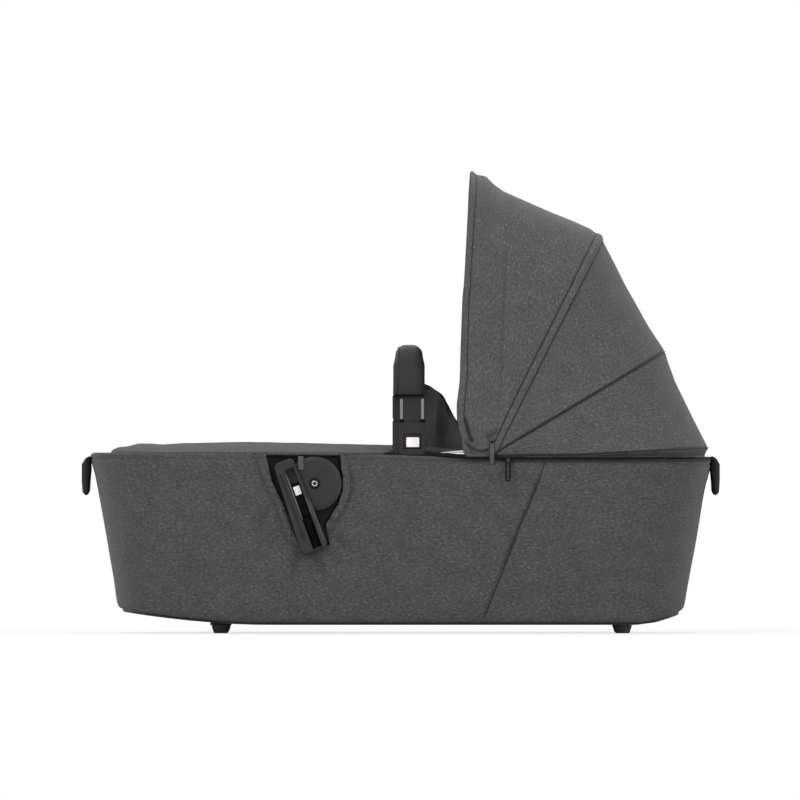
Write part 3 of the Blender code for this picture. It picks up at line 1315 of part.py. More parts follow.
def make_bow(name, leg, apex, order, tilt=0.0):
    """One hood bow: a flat strip bent over the tub, with a pin eye at each end."""
    half = bow_sections(leg, apex, order, tilt)
    mirrored = [[Vector((point.x, -point.y, point.z)) for point in ring] for ring in reversed(half[:-1])]
    bow = add_object(name, *loft(half + mirrored), BLACK, 0.5)
    hole = HUB_PIN_RADIUS + HUB_PIN_CLEARANCE
    far = HOOD_HALF_WIDTH + OVERRUN
    tool = add_object(name + "_eye_tool", *turned(pivot_point(0.0, 0.0, 0.0), ((hole, -far), (hole, far)), "Y"))
    use_tool(bow, tool)
    move_origin(bow, Vector((PIVOT_X, 0.0, PIVOT_Z)))
    return bow


def bow_leg(reach, angle):
    """Straight leg of a bow, with its shoulder a little below the fabric's."""
    return [radial(HOOD_SKIRT_START, angle), radial(reach - HOOD_SHOULDER - BOW_SHOULDER_DROP, angle)]


def make_hood():
    """Three bows on one pin and the fabric between them."""
    inside = HOOD_FABRIC + BOW_FABRIC_GAP + BOW_THICKNESS / 2.0 + BOW_CROWN_DROP
    front_leg = [(HOOD_FRONT_HEIGHT * x, HOOD_FRONT_HEIGHT * z) for x, z in FRONT_BOW_LEG_SHARES]
    front_apex = tuple(HOOD_FRONT_HEIGHT * share for share in FRONT_BOW_APEX_SHARES)
    make_bow("front_bow", front_leg, front_apex, 0, FRONT_BOW_TILT)
    middle_reach = HOOD_MIDDLE_REACH - inside
    middle_leg = bow_leg(HOOD_MIDDLE_REACH, HOOD_MIDDLE_ANGLE)
    make_bow("middle_bow", middle_leg, radial(middle_reach, HOOD_MIDDLE_ANGLE), 1, MIDDLE_BOW_TILT)
    rear_reach = HOOD_REAR_REACH - inside
    rear_leg = bow_leg(HOOD_REAR_REACH, HOOD_REAR_ANGLE)
    make_bow("rear_bow", rear_leg, radial(rear_reach, HOOD_REAR_ANGLE), 2)

    front = front_edge_line()
    middle = radial_line(HOOD_MIDDLE_REACH, HOOD_MIDDLE_ANGLE, HOOD_HALF_WIDTH)
    rear = radial_line(HOOD_REAR_REACH, HOOD_REAR_ANGLE, HOOD_HALF_WIDTH)
    hood_panel("hood_panel_front", front, middle, CHARCOAL_LIGHT)
    hood_panel("hood_panel_middle", middle, rear, CHARCOAL_LIGHT)
    hood_panel("hood_panel_rear", rear, base_line(BAND_HEIGHT), CHARCOAL_LIGHT)

    low = base_line(0.0)
    high = base_line(BAND_HEIGHT - GAP)
    outer = [low, high]
    inner = offset_grid(outer, HOOD_FABRIC)
    add_object("hood_base_band", *two_sided(outer, inner), CHARCOAL_LIGHT, 0.95)


def make_hood_hub(name, side):
    """Clevis block between the two halves of the rim frame, with the pin that the bows turn on."""
    near = hub_inner_y()
    far = bow_y(0) + BOW_THICKNESS / 2.0 + (BOW_SPACING - BOW_THICKNESS) + HUB_CHEEK
    low = RIM_HEIGHT - FRAME_HEIGHT
    floor = RIM_HEIGHT - HUB_SLOT_DEPTH
    half = HUB_CHEEK_WIDTH / 2.0
    foot, head = PIVOT_X - HUB_FOOT_REACH, PIVOT_X + HUB_HEAD_REACH
    arc = [math.radians(15.0 * step) for step in range(13)]
    outline = [(PIVOT_X + HUB_RADIUS * math.cos(a), PIVOT_Z + HUB_RADIUS * math.sin(a)) for a in arc]
    outline += [(PIVOT_X - half, floor), (foot, floor), (foot, low), (head, low), (head, floor),
                (PIVOT_X + half, floor)]
    hub = add_object("hood_hub_" + name, *side_prism(outline, near, far, side), BLACK, 0.5)
    slot = [(PIVOT_X - half - OVERRUN, floor), (PIVOT_X + half + OVERRUN, floor),
            (PIVOT_X + half + OVERRUN, PIVOT_Z + HUB_RADIUS + OVERRUN),
            (PIVOT_X - half - OVERRUN, PIVOT_Z + HUB_RADIUS + OVERRUN)]
    use_tool(hub, add_object("hub_slot_tool_" + name,
                             *side_prism(slot, near + HUB_CHEEK, far - HUB_CHEEK, side)))
    edges = sorted((side * (half_width_at(low) - FRAME_INSET), side * (far + OVERRUN)))
    use_tool(hub, add_object("hub_step_tool_" + name,
                             *box((foot - OVERRUN, edges[0], low - OVERRUN),
                                  (head + OVERRUN, edges[1], floor - HUB_STEP_DROP))))
    centre = pivot_point(0.0, 0.0, 0.0)
    hole = HUB_PIN_RADIUS + HUB_PIN_CLEARANCE
    bore = ((hole, side * (near - OVERRUN)), (hole, side * (far + OVERRUN)))
    use_tool(hub, add_object("hub_bore_tool_" + name, *turned(centre, bore, "Y")))
    add_object("hood_pin_" + name,
               *turned(centre, ((HUB_PIN_RADIUS, side * near), (HUB_PIN_RADIUS, side * far)), "Y", 12),
               STEEL, 0.3, 1.0)


def make_side_tab(name, side):
    """Fabric tab over the hood's pivot with its press stud."""
    near = HOOD_HALF_WIDTH + GAP
    foot = half_width_at(TAB_BOTTOM) + GAP * 2.0
    half = TAB_WIDTH / 2.0
    rings = []
    for height, y in ((TAB_BOTTOM, foot), (RIM_HEIGHT + COVER_BEAD_RISE, TUB_WIDTH_TOP / 2.0 + GAP),
                      (RIM_HEIGHT + 2.0 * COVER_BEAD_RISE, TUB_WIDTH_TOP / 2.0 + GAP), (TAB_TOP, near)):
        rings.append([Vector((PIVOT_X - half, side * y, height)), Vector((PIVOT_X + half, side * y, height)),
                      Vector((PIVOT_X + half, side * (y + TAB_THICKNESS), height)),
                      Vector((PIVOT_X - half, side * (y + TAB_THICKNESS), height))])
    add_object("hood_tab_" + name, *loft(rings), CHARCOAL, 0.95)


def make_zip():
    """Zip slider at the rim and the loop-shaped pull that hangs from it."""
    top = ZIP_TOP
    near = TUB_WIDTH_TOP / 2.0 + GAP
    half = SLIDER_WIDTH / 2.0
    outline = [(ZIP_X - half, top - SLIDER_HEIGHT), (ZIP_X + half, top - SLIDER_HEIGHT),
               (ZIP_X + half, top), (ZIP_X - half, top)]
    slider = add_object("zip_slider", *side_prism(outline, near, near + SLIDER_THICKNESS, -1.0),
                        BLACK, 0.4, 0.6)
    bevel(slider, SLIDER_THICKNESS / 4.0)
    pull_near = near + SLIDER_THICKNESS + GAP
    outer = []
    inner = []
    radius = PULL_WIDTH / 2.0
    hole = radius - PULL_THICKNESS
    high = top - PULL_EYE_DROP
    low = high - PULL_LENGTH + 2.0 * radius
    for step in range(ROUND_STEPS):
        angle = 2.0 * math.pi * (step + 0.5) / ROUND_STEPS
        centre = high if math.sin(angle) > 0.0 else low
        outer.append((ZIP_X + radius * math.cos(angle), centre + radius * math.sin(angle)))
        inner.append((ZIP_X + hole * math.cos(angle), centre + hole * math.sin(angle)))
    far = pull_near + PULL_THICKNESS
    rings = [[Vector((x, -y, z)) for x, z in line]
             for line, y in ((outer, pull_near), (outer, far), (inner, far), (inner, pull_near))]
    pull = add_object("zip_pull", *loft(rings, cyclic=True), BLACK, 0.6)
    move_origin(pull, Vector((ZIP_X, -pull_near, high + radius)))


def build():
    """Model every piece of the carrycot."""
    clear_scene()
    make_tray()
    make_pads()
    make_cover()
    make_boards()
    make_rim_frame()
    make_bed()
    make_apron()
    make_collar()
    make_end_grips()
    for name, side in SIDES:
        make_chassis_bracket(name, side)
        make_handle_foot(name, side)
        make_handle_leg(name, side)
        make_hood_hub(name, side)
        make_side_tab(name, side)
    make_handle_bar()
    make_hood()
    make_zip()
    bpy.context.view_layer.update()


build()
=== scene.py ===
"""Visual model of the carrycot: melange fabric tub and hood, carry handle and chassis brackets.

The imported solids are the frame. Hard pieces keep their solids and get a finish, soft pieces are rebuilt
as cloth, and the small trim that the solids leave out is added.
"""

import logging
import math
from collections.abc import Callable
from dataclasses import dataclass, field
from enum import Enum

import bpy
import numpy as np
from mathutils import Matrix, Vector, noise


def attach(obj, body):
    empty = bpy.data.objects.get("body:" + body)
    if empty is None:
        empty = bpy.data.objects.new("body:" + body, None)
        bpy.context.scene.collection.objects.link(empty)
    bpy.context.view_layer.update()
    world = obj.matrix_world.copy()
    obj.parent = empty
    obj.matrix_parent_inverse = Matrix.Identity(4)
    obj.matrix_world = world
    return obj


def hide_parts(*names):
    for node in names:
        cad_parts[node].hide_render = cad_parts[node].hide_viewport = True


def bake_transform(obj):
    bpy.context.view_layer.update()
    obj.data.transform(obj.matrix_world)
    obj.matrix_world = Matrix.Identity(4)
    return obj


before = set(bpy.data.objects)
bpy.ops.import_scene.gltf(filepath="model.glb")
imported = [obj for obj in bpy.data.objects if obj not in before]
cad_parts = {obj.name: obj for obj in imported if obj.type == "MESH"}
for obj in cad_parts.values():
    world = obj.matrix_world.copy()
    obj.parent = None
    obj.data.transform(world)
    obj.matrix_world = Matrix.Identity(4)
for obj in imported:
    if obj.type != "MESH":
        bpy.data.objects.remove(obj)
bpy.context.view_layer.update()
log = logging.getLogger("carrycot")

Colour = tuple[float, float, float]
Row = tuple[float, float, float]
Spot = tuple[float, float]
Line = tuple[Spot, ...]


class Coordinates(Enum):
    """What a pattern follows: the piece's own map in metres, or its place in space."""

    CLOTH = "UV"
    PLACE = "Object"


class Side(Enum):
    """The two long sides of the tub, with the sign of their Y."""

    LEFT = -1.0
    RIGHT = 1.0


class Graph:
    """A node tree under construction."""

    def __init__(self, tree: bpy.types.NodeTree) -> None:
        """Work on a tree."""
        self.tree = tree

    def feed(self, socket: bpy.types.NodeSocket, value: object) -> None:
        """Link a socket to another one, or set its number or colour."""
        if isinstance(value, bpy.types.NodeSocket):
            self.tree.links.new(value, socket)
        else:
            socket.default_value = value

    def node(self, kind: str, inputs: dict[str, object], **settings: object) -> bpy.types.Node:
        """Add a node.

        Args:
            kind: The node's type.
            inputs: Values or sockets for its inputs, by their names.
            settings: The node's own settings.

        Returns:
            The node.
        """
        made = self.tree.nodes.new(kind)
        for key, value in settings.items():
            setattr(made, key, value)
        for key, value in inputs.items():
            self.feed(made.inputs[key], value)
        return made

    def sum(self, operation: str, first: object, second: object = 0.0) -> bpy.types.NodeSocket:
        """One step of arithmetic.

        Args:
            operation: The Math node's operation.
            first: A number or a socket.
            second: A number or a socket.

        Returns:
            The result's socket.
        """
        made = self.tree.nodes.new("ShaderNodeMath")
        made.operation = operation
        self.feed(made.inputs[0], first)
        self.feed(made.inputs[1], second)
        return made.outputs[0]

    def mix(self, factor: object, first: bpy.types.NodeSocket, second: bpy.types.NodeSocket) -> bpy.types.NodeSocket:
        """Mix two surfaces by a factor."""
        made = self.tree.nodes.new("ShaderNodeMixShader")
        for socket, value in zip(made.inputs, (factor, first, second)):
            self.feed(socket, value)
        return made.outputs[0]


class Shader(Graph):
    """A material under construction."""

    def __init__(self, name: str, roughness: float) -> None:
        """Start a material.

        Args:
            name: The material's name.
            roughness: Its roughness where nothing varies it.
        """
        self.material = bpy.data.materials.new(name)
        self.material.use_nodes = True
        super().__init__(self.material.node_tree)
        self.surface = self.tree.nodes["Principled BSDF"]
        self.surface.inputs["Roughness"].default_value = roughness

    def place(self, coordinates: Coordinates, stretch: Row = (1.0, 1.0, 1.0)) -> bpy.types.NodeSocket:
        """Coordinates in metres, stretched along an axis where a number is below 1."""
        source = self.node("ShaderNodeTexCoord", {}).outputs[coordinates.value]
        return self.node("ShaderNodeMapping", {"Vector": source, "Scale": stretch}).outputs[0]

    def grain(self, vector: bpy.types.NodeSocket, size: float, detail: float = 2.0,
              roughness: float = 0.6) -> bpy.types.NodeSocket:
        """Soft noise whose lumps are about a size across, in metres."""
        settings = {"Vector": vector, "Scale": 1.0 / size, "Detail": detail, "Roughness": roughness}
        return self.node("ShaderNodeTexNoise", settings).outputs[0]

    def ramp(self, value: object, stops: list[tuple[float, Colour]]) -> bpy.types.NodeSocket:
        """Colours along a value.

        Args:
            value: The value's socket.
            stops: Places from 0 to 1 with their colours.

        Returns:
            The colour's socket.
        """
        made = self.node("ShaderNodeValToRGB", {"Fac": value})
        band = made.color_ramp
        while len(band.elements) < len(stops):
            band.elements.new(0.5)
        for element, (spot, colour) in zip(band.elements, stops):
            element.position = spot
            element.color = (*colour, 1.0)
        return made.outputs[0]

    def tint(self, factor: object, first: object, second: object, blend: str = "MIX") -> bpy.types.NodeSocket:
        """Mix two colours by a factor."""
        made = self.tree.nodes.new("ShaderNodeMix")
        made.data_type = "RGBA"
        made.blend_type = blend
        self.feed(made.inputs[0], factor)
        self.feed(made.inputs[6], first)
        self.feed(made.inputs[7], second)
        return made.outputs[2]

    def waves(self, vector: bpy.types.NodeSocket, axis: str, pitch: float) -> bpy.types.NodeSocket:
        """A sine along one axis of the coordinates, from -1 to 1, with a pitch in metres."""
        parts = self.node("ShaderNodeSeparateXYZ", {"Vector": vector}).outputs
        return self.sum("SINE", self.sum("MULTIPLY", parts[axis], 2.0 * math.pi / pitch))

    def emboss(self, height: bpy.types.NodeSocket, depth: float, strength: float) -> None:
        """Raise the surface by a height of 0 to 1 times a depth in metres."""
        bump = self.node("ShaderNodeBump", {"Height": height, "Distance": depth, "Strength": strength})
        self.feed(self.surface.inputs["Normal"], bump.outputs[0])

    def colour(self, value: object) -> None:
        """Set or link the base colour."""
        self.feed(self.surface.inputs["Base Color"], value)


@dataclass(frozen=True)
class Melange:
    """Woven cloth of mixed dark and light yarns, darkened by painted shade where an attribute marks it."""

    name: str
    tone: Colour
    light: Colour
    dark: Colour
    follows: Coordinates = Coordinates.CLOTH
    pitch: float = 0.0014
    fleck: float = 0.0027

    def make(self) -> bpy.types.Material:
        """Build the material."""
        shader = Shader(self.name, 0.93)
        cloth = shader.place(self.follows)
        along = shader.place(self.follows, (0.62, 1.0, 1.0))
        flecks = shader.grain(along, self.fleck, 3.0, 0.78)
        fine = shader.grain(cloth, self.fleck * 0.42, 2.0, 0.7)
        mixed = shader.sum("ADD", shader.sum("MULTIPLY", flecks, 0.68), shader.sum("MULTIPLY", fine, 0.32))
        yarns = shader.ramp(mixed, [(0.36, self.dark), (0.46, self.tone), (0.53, self.tone), (0.64, self.light)])
        shade = shader.ramp(shader.grain(cloth, 0.030, 3.0, 0.55),
                            [(0.32, (0.90, 0.90, 0.90)), (0.68, (1.08, 1.08, 1.08))])
        # Painted shade: the colour darkens toward a fifth of the tone where the attribute marks folds, sewn lines
        # and places in shadow.
        painted_shade = shader.node("ShaderNodeAttribute", {}, attribute_name="crease_and_shade").outputs["Fac"]
        pale = shader.tint(1.0, yarns, shade, "MULTIPLY")
        shader.colour(shader.tint(painted_shade, pale, (*(channel * 0.22 for channel in self.tone), 1.0)))
        weave = shader.sum("MULTIPLY", shader.waves(cloth, "X", self.pitch), shader.waves(cloth, "Y", self.pitch))
        height = shader.sum("ADD", shader.sum("MULTIPLY", weave, 0.22), shader.sum("MULTIPLY", mixed, 1.3))
        shader.emboss(height, 0.0004, 0.55)
        shader.surface.inputs["Sheen Weight"].default_value = 0.10
        shader.surface.inputs["Sheen Roughness"].default_value = 0.45
        shader.surface.inputs["Specular IOR Level"].default_value = 0.18
        return shader.material


@dataclass(frozen=True)
class PlainCloth:
    """Even cloth or ribbon with a visible weave."""

    name: str
    tone: Colour
    follows: Coordinates = Coordinates.CLOTH
    pitch: float = 0.0010
    ribbed: bool = False
    depth: float = 0.0003

    def make(self) -> bpy.types.Material:
        """Build the material."""
        shader = Shader(self.name, 0.88)
        cloth = shader.place(self.follows)
        worn = shader.grain(cloth, 0.012, 4.0, 0.6)
        low = tuple(channel * 0.86 for channel in self.tone)
        high = tuple(min(channel * 1.12, 1.0) for channel in self.tone)
        shader.colour(shader.ramp(worn, [(0.30, low), (0.70, high)]))
        weave = shader.waves(cloth, "X", self.pitch)
        if not self.ribbed:
            weave = shader.sum("MULTIPLY", weave, shader.waves(cloth, "Y", self.pitch))
        threads = shader.grain(cloth, self.pitch * 0.8, 2.0, 0.6)
        shader.emboss(shader.sum("ADD", shader.sum("MULTIPLY", weave, 0.4), threads), self.depth, 0.5)
        shader.surface.inputs["Sheen Weight"].default_value = 0.12
        shader.surface.inputs["Specular IOR Level"].default_value = 0.2
        return shader.material


@dataclass(frozen=True)
class Plastic:
    """Moulded plastic or rubber with a fine eroded grain, a little rubbed in places."""

    name: str
    tone: Colour
    roughness: float = 0.5
    grain: float = 0.0007
    depth: float = 0.00006
    gloss: float = 0.28
    outer: Colour | None = None
    outer_from: float = 0.4190

    def make(self) -> bpy.types.Material:
        """Build the material."""
        shader = Shader(self.name, self.roughness)
        place = shader.place(Coordinates.PLACE)
        handled = shader.grain(place, 0.018, 4.0, 0.6)
        lighter = tuple(channel * 1.22 + 0.002 for channel in self.tone)
        tone = shader.ramp(handled, [(0.35, self.tone), (0.72, lighter)])
        if self.outer:
            reach = shader.sum("ABSOLUTE", shader.node("ShaderNodeSeparateXYZ", {"Vector": place}).outputs["X"])
            share = shader.node("ShaderNodeMapRange", {"Value": reach, "From Min": self.outer_from,
                                                       "From Max": self.outer_from + 0.0012})
            tone = shader.tint(share.outputs["Result"], tone, (*self.outer, 1.0))
        shader.colour(tone)
        dull = shader.sum("ADD", shader.sum("MULTIPLY", handled, 0.22), self.roughness - 0.11)
        shader.feed(shader.surface.inputs["Roughness"], dull)
        shader.surface.inputs["Specular IOR Level"].default_value = self.gloss
        shader.emboss(shader.grain(place, self.grain, 2.0, 0.5), self.depth, 0.6)
        return shader.material


@dataclass(frozen=True)
class Leather:
    """Imitation leather: pebbled grain with darker creases."""

    name: str
    tone: Colour
    pebble: float = 0.0016

    def make(self) -> bpy.types.Material:
        """Build the material."""
        shader = Shader(self.name, 0.62)
        shader.surface.inputs["Specular IOR Level"].default_value = 0.24
        place = shader.place(Coordinates.PLACE)
        cells = shader.node("ShaderNodeTexVoronoi", {"Vector": place, "Scale": 1.0 / self.pebble},
                            feature="DISTANCE_TO_EDGE").outputs["Distance"]
        crease_and_shade = shader.ramp(cells, [(0.0, (0.0, 0.0, 0.0)), (0.22, (1.0, 1.0, 1.0))])
        dark = tuple(channel * 0.72 for channel in self.tone)
        worn = shader.ramp(shader.grain(place, 0.020, 3.0, 0.6),
                           [(0.35, self.tone), (0.70, tuple(channel * 1.2 for channel in self.tone))])
        shader.colour(shader.tint(crease_and_shade, (*dark, 1.0), worn))
        height = shader.sum("ADD", crease_and_shade, shader.grain(place, 0.0006, 2.0, 0.6))
        shader.emboss(height, 0.00016, 0.5)
        return shader.material


@dataclass(frozen=True)
class Metal:
    """Brushed or turned metal with fine lines along X."""

    name: str
    tone: Colour
    roughness: float = 0.34
    lines: Row = (0.05, 1.0, 1.0)

    def make(self) -> bpy.types.Material:
        """Build the material."""
        shader = Shader(self.name, self.roughness)
        shader.surface.inputs["Metallic"].default_value = 1.0
        brushed = shader.grain(shader.place(Coordinates.PLACE, self.lines), 0.0006, 3.0, 0.6)
        high = tuple(min(channel * 1.1, 1.0) for channel in self.tone)
        shader.colour(shader.ramp(brushed, [(0.30, self.tone), (0.70, high)]))
        shader.emboss(brushed, 0.00004, 0.4)
        return shader.material


class Finish(Enum):
    """Every finish on the carrycot."""

    TUB = Melange("tub_melange", (0.066, 0.066, 0.067), (0.150, 0.150, 0.151), (0.024, 0.024, 0.025))
    HOOD = Melange("hood_melange", (0.080, 0.080, 0.081), (0.172, 0.172, 0.173), (0.030, 0.030, 0.031))
    APRON = Melange("apron_melange", (0.046, 0.046, 0.047), (0.108, 0.108, 0.109), (0.017, 0.017, 0.018))
    TUB_TRIM = Melange("tub_melange_trim", (0.066, 0.066, 0.067), (0.150, 0.150, 0.151), (0.024, 0.024, 0.025),
                       Coordinates.PLACE)
    COLLAR = PlainCloth("collar_cloth", (0.050, 0.050, 0.051))
    BINDING = PlainCloth("black_binding", (0.010, 0.010, 0.011), pitch=0.0009, ribbed=True)
    BINDING_TRIM = PlainCloth("black_ribbon", (0.003, 0.003, 0.003), Coordinates.PLACE, 0.0009, ribbed=True)
    LINING = PlainCloth("lining_cloth", (0.42, 0.42, 0.41), depth=0.0004)
    MATTRESS = PlainCloth("mattress_knit", (0.74, 0.74, 0.72), Coordinates.PLACE, 0.0016, depth=0.0005)
    THREAD = PlainCloth("sewing_thread", (0.020, 0.020, 0.021), Coordinates.PLACE, 0.0004, ribbed=True)
    TRAY = Plastic("tray_black", (0.014, 0.014, 0.015), 0.55, 0.0011, 0.0001)
    RUBBER = Plastic("foot_rubber", (0.080, 0.080, 0.081), 0.72)
    FRAME = Plastic("rim_frame_black", (0.012, 0.012, 0.013), 0.5)
    BOARD = Plastic("grey_board", (0.045, 0.044, 0.043), 0.75, 0.002)
    GRIP_BLACK = Plastic("end_grip_black", (0.001, 0.001, 0.002), 0.5, gloss=0.16, outer=(0.024, 0.024, 0.025))
    HOUSING = Plastic("housing_black", (0.004, 0.004, 0.005), 0.5, gloss=0.12)
    BRACKET = Plastic("bracket_black", (0.018, 0.018, 0.019), 0.42)
    BRACKET_DISC = Plastic("disc_black", (0.017, 0.017, 0.018), 0.46)
    # Painted light: a lighter copy of the bracket's black, for its rounded limb.
    LIMB = Plastic("bracket_rounded_black", (0.034, 0.034, 0.035), 0.4)
    # Painted highlight: light grey for the lips on the chamfered edges of the bracket's channel.
    LIP_HIGHLIGHT = Plastic("bracket_lip_grey", (0.150, 0.150, 0.152), 0.35, 0.0016, 0.00002)
    LATCH = Plastic("latch_black", (0.001, 0.001, 0.001), 0.4, gloss=0.06)
    HANDLE = Plastic("handle_black", (0.012, 0.012, 0.013), 0.45)
    BUTTON = Plastic("button_black", (0.016, 0.009, 0.010), 0.38, gloss=0.2)
    BOW = Plastic("bow_black", (0.012, 0.012, 0.013), 0.45)
    LUG = Plastic("grey_lug", (0.075, 0.075, 0.076), 0.5)
    MARKER = Plastic("plain_plate", (0.78, 0.76, 0.76), 0.38, 0.0016, 0.00002)
    LEATHER = Leather("pebbled_leather", (0.020, 0.020, 0.020))
    STEEL = Metal("bright_steel", (0.60, 0.60, 0.61))
    # Near black: painted shade of the bolt's socket and counterbore.
    BOLT = Metal("bolt_steel", (0.040, 0.040, 0.041), 0.4)
    ALUMINIUM = Metal("rail_aluminium", (0.21, 0.21, 0.22), 0.36, (1.0, 1.0, 0.05))
    ZIP = Metal("zip_gunmetal", (0.060, 0.060, 0.062), 0.40)

    def material(self) -> bpy.types.Material:
        """The finish's material, which is built once."""
        return bpy.data.materials.get(self.value.name) or self.value.make()


def dress_solids(finish: Finish, *names: str) -> None:
    """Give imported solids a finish."""
    for name in names:
        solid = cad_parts[name]
        for place in solid.material_slots:
            place.material = finish.material()


def select_only(piece: bpy.types.Object) -> None:
    """Leave one piece selected and active."""
    bpy.ops.object.select_all(action="DESELECT")
    piece.select_set(True)
    bpy.context.view_layer.objects.active = piece


def add_mesh(name: str, points: object, faces: list[tuple[int, ...]]) -> bpy.types.Object:
    """A new piece from its points and faces."""
    mesh = bpy.data.meshes.new(name)
    mesh.from_pydata(np.asarray(points).reshape(-1, 3).tolist(), [], faces)
    piece = bpy.data.objects.new(name, mesh)
    bpy.context.scene.collection.objects.link(piece)
    return piece


def read_points(piece: bpy.types.Object) -> np.ndarray:
    """A piece's points, one in each row."""
    values = np.zeros(len(piece.data.vertices) * 3)
    piece.data.vertices.foreach_get("co", values)
    return values.reshape(-1, 3)


def write_points(piece: bpy.types.Object, points: np.ndarray) -> None:
    """Move a piece's points."""
    piece.data.vertices.foreach_set("co", points.ravel())
    piece.data.update()


def face_outward(piece: bpy.types.Object, weld: float = 0.0) -> None:
    """Turn the faces of a closed piece outward, once points closer than a distance are joined."""
    select_only(piece)
    bpy.ops.object.mode_set(mode="EDIT")
    bpy.ops.mesh.select_all(action="SELECT")
    if weld:
        bpy.ops.mesh.remove_doubles(threshold=weld)
    bpy.ops.mesh.normals_make_consistent(inside=False)
    bpy.ops.object.mode_set(mode="OBJECT")


def ring_faces(rings: int, corners: int, looped: bool = False, first: int = 0) -> list[tuple[int, ...]]:
    """Faces round a row of rings of points.

    Args:
        rings: Number of rings.
        corners: Points in each ring.
        looped: True if the last ring joins the first. Else a face closes each end.
        first: Number of the first point.

    Returns:
        The faces.
    """
    faces = []
    for step in range(rings if looped else rings - 1):
        here, after = first + step * corners, first + (step + 1) % rings * corners
        for corner in range(corners):
            beside = (corner + 1) % corners
            faces.append((here + corner, here + beside, after + beside, after + corner))
    if not looped:
        faces.append(tuple(reversed(range(first, first + corners))))
        faces.append(tuple(range(first + (rings - 1) * corners, first + rings * corners)))
    return faces


def apply_modifier(piece: bpy.types.Object, kind: str, **settings: object) -> None:
    """Add a modifier with its settings and apply it."""
    select_only(piece)
    made = piece.modifiers.new(kind.lower(), kind)
    for key, value in settings.items():
        setattr(made, key, value)
    bpy.ops.object.modifier_apply(modifier=made.name)


def settle(piece: bpy.types.Object, finish: Finish, body: str | None = "tub",
           sharp: float = 40.0) -> None:
    """Finish a new piece: place into its mesh, shading, material, slot and body.

    Args:
        piece: The piece.
        finish: Its finish.
        body: The body it rides on, or None for none.
        sharp: Angle in degrees above which an edge stays sharp.
    """
    select_only(piece)
    bpy.ops.object.transform_apply(location=True, rotation=True, scale=True)
    bpy.ops.object.shade_smooth_by_angle(angle=math.radians(sharp))
    piece.data.materials.clear()
    piece.data.materials.append(finish.material())
    if body:
        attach(piece, body)
    log.info("%s: %d faces", piece.name, len(piece.data.polygons))


def smooth_step(value: np.ndarray | float, low: float, high: float) -> np.ndarray | float:
    """Rise from 0 at low to 1 at high without corners."""
    share = np.clip((value - low) / (high - low), 0.0, 1.0)
    return share * share * (3.0 - 2.0 * share)


def ripple(points: np.ndarray, scale: Row, seed: float = 0.0) -> np.ndarray:
    """Soft noise from -1 to 1 at points, with lumps of 1 / scale metres along each axis."""
    spots = points.reshape(-1, 3) * np.array(scale) + seed
    values = [noise.noise(Vector(spot)) for spot in spots]
    return np.array(values).reshape(points.shape[:-1])


def softened(values: np.ndarray, times: int) -> np.ndarray:
    """Values averaged with their neighbours along the first axis, several times, with both ends kept."""
    soft = values.copy()
    for _ in range(times):
        soft[1:-1] = (soft[:-2] + soft[1:-1] * 2.0 + soft[2:]) / 4.0
    return soft


def lengths_along(path: np.ndarray) -> np.ndarray:
    """How far along a broken line each of its points lies."""
    return np.concatenate([[0.0], np.cumsum(np.linalg.norm(np.diff(path, axis=0), axis=1))])


def resampled(places: np.ndarray, values: np.ndarray, wanted: np.ndarray) -> np.ndarray:
    """Rows of values, given at places along a line, read at other places."""
    return np.stack([np.interp(wanted, places, column) for column in values.T], axis=1)


def soft_line(spots: Line, count: int, times: int) -> np.ndarray:
    """A broken line's points at even distances, with its corners softened."""
    given = np.array(spots)
    lengths = lengths_along(given)
    return softened(resampled(lengths, given, np.linspace(0.0, lengths[-1], count)), times)


def nearest(x: np.ndarray, z: np.ndarray, line: Line) -> np.ndarray:
    """Distance in the X-Z plane from points to a broken line."""
    away = np.full(x.shape, 1.0)
    for start, end in zip(line, line[1:]):
        run = np.array(end) - np.array(start)
        along = np.clip(((x - start[0]) * run[0] + (z - start[1]) * run[1]) / (run @ run), 0.0, 1.0)
        away = np.minimum(away, np.hypot(x - start[0] - run[0] * along, z - start[1] - run[1] * along))
    return away


def grid_normals(grid: np.ndarray, closed: bool) -> np.ndarray:
    """Unit normals of a grid of points, rows by columns, as columns cross rows."""
    if closed:
        across = np.roll(grid, -1, 1) - np.roll(grid, 1, 1)
    else:
        across = np.gradient(grid, axis=1)
    along = np.gradient(grid, axis=0)
    normal = np.cross(across, along)
    return normal / np.maximum(np.linalg.norm(normal, axis=2, keepdims=True), 1e-9)


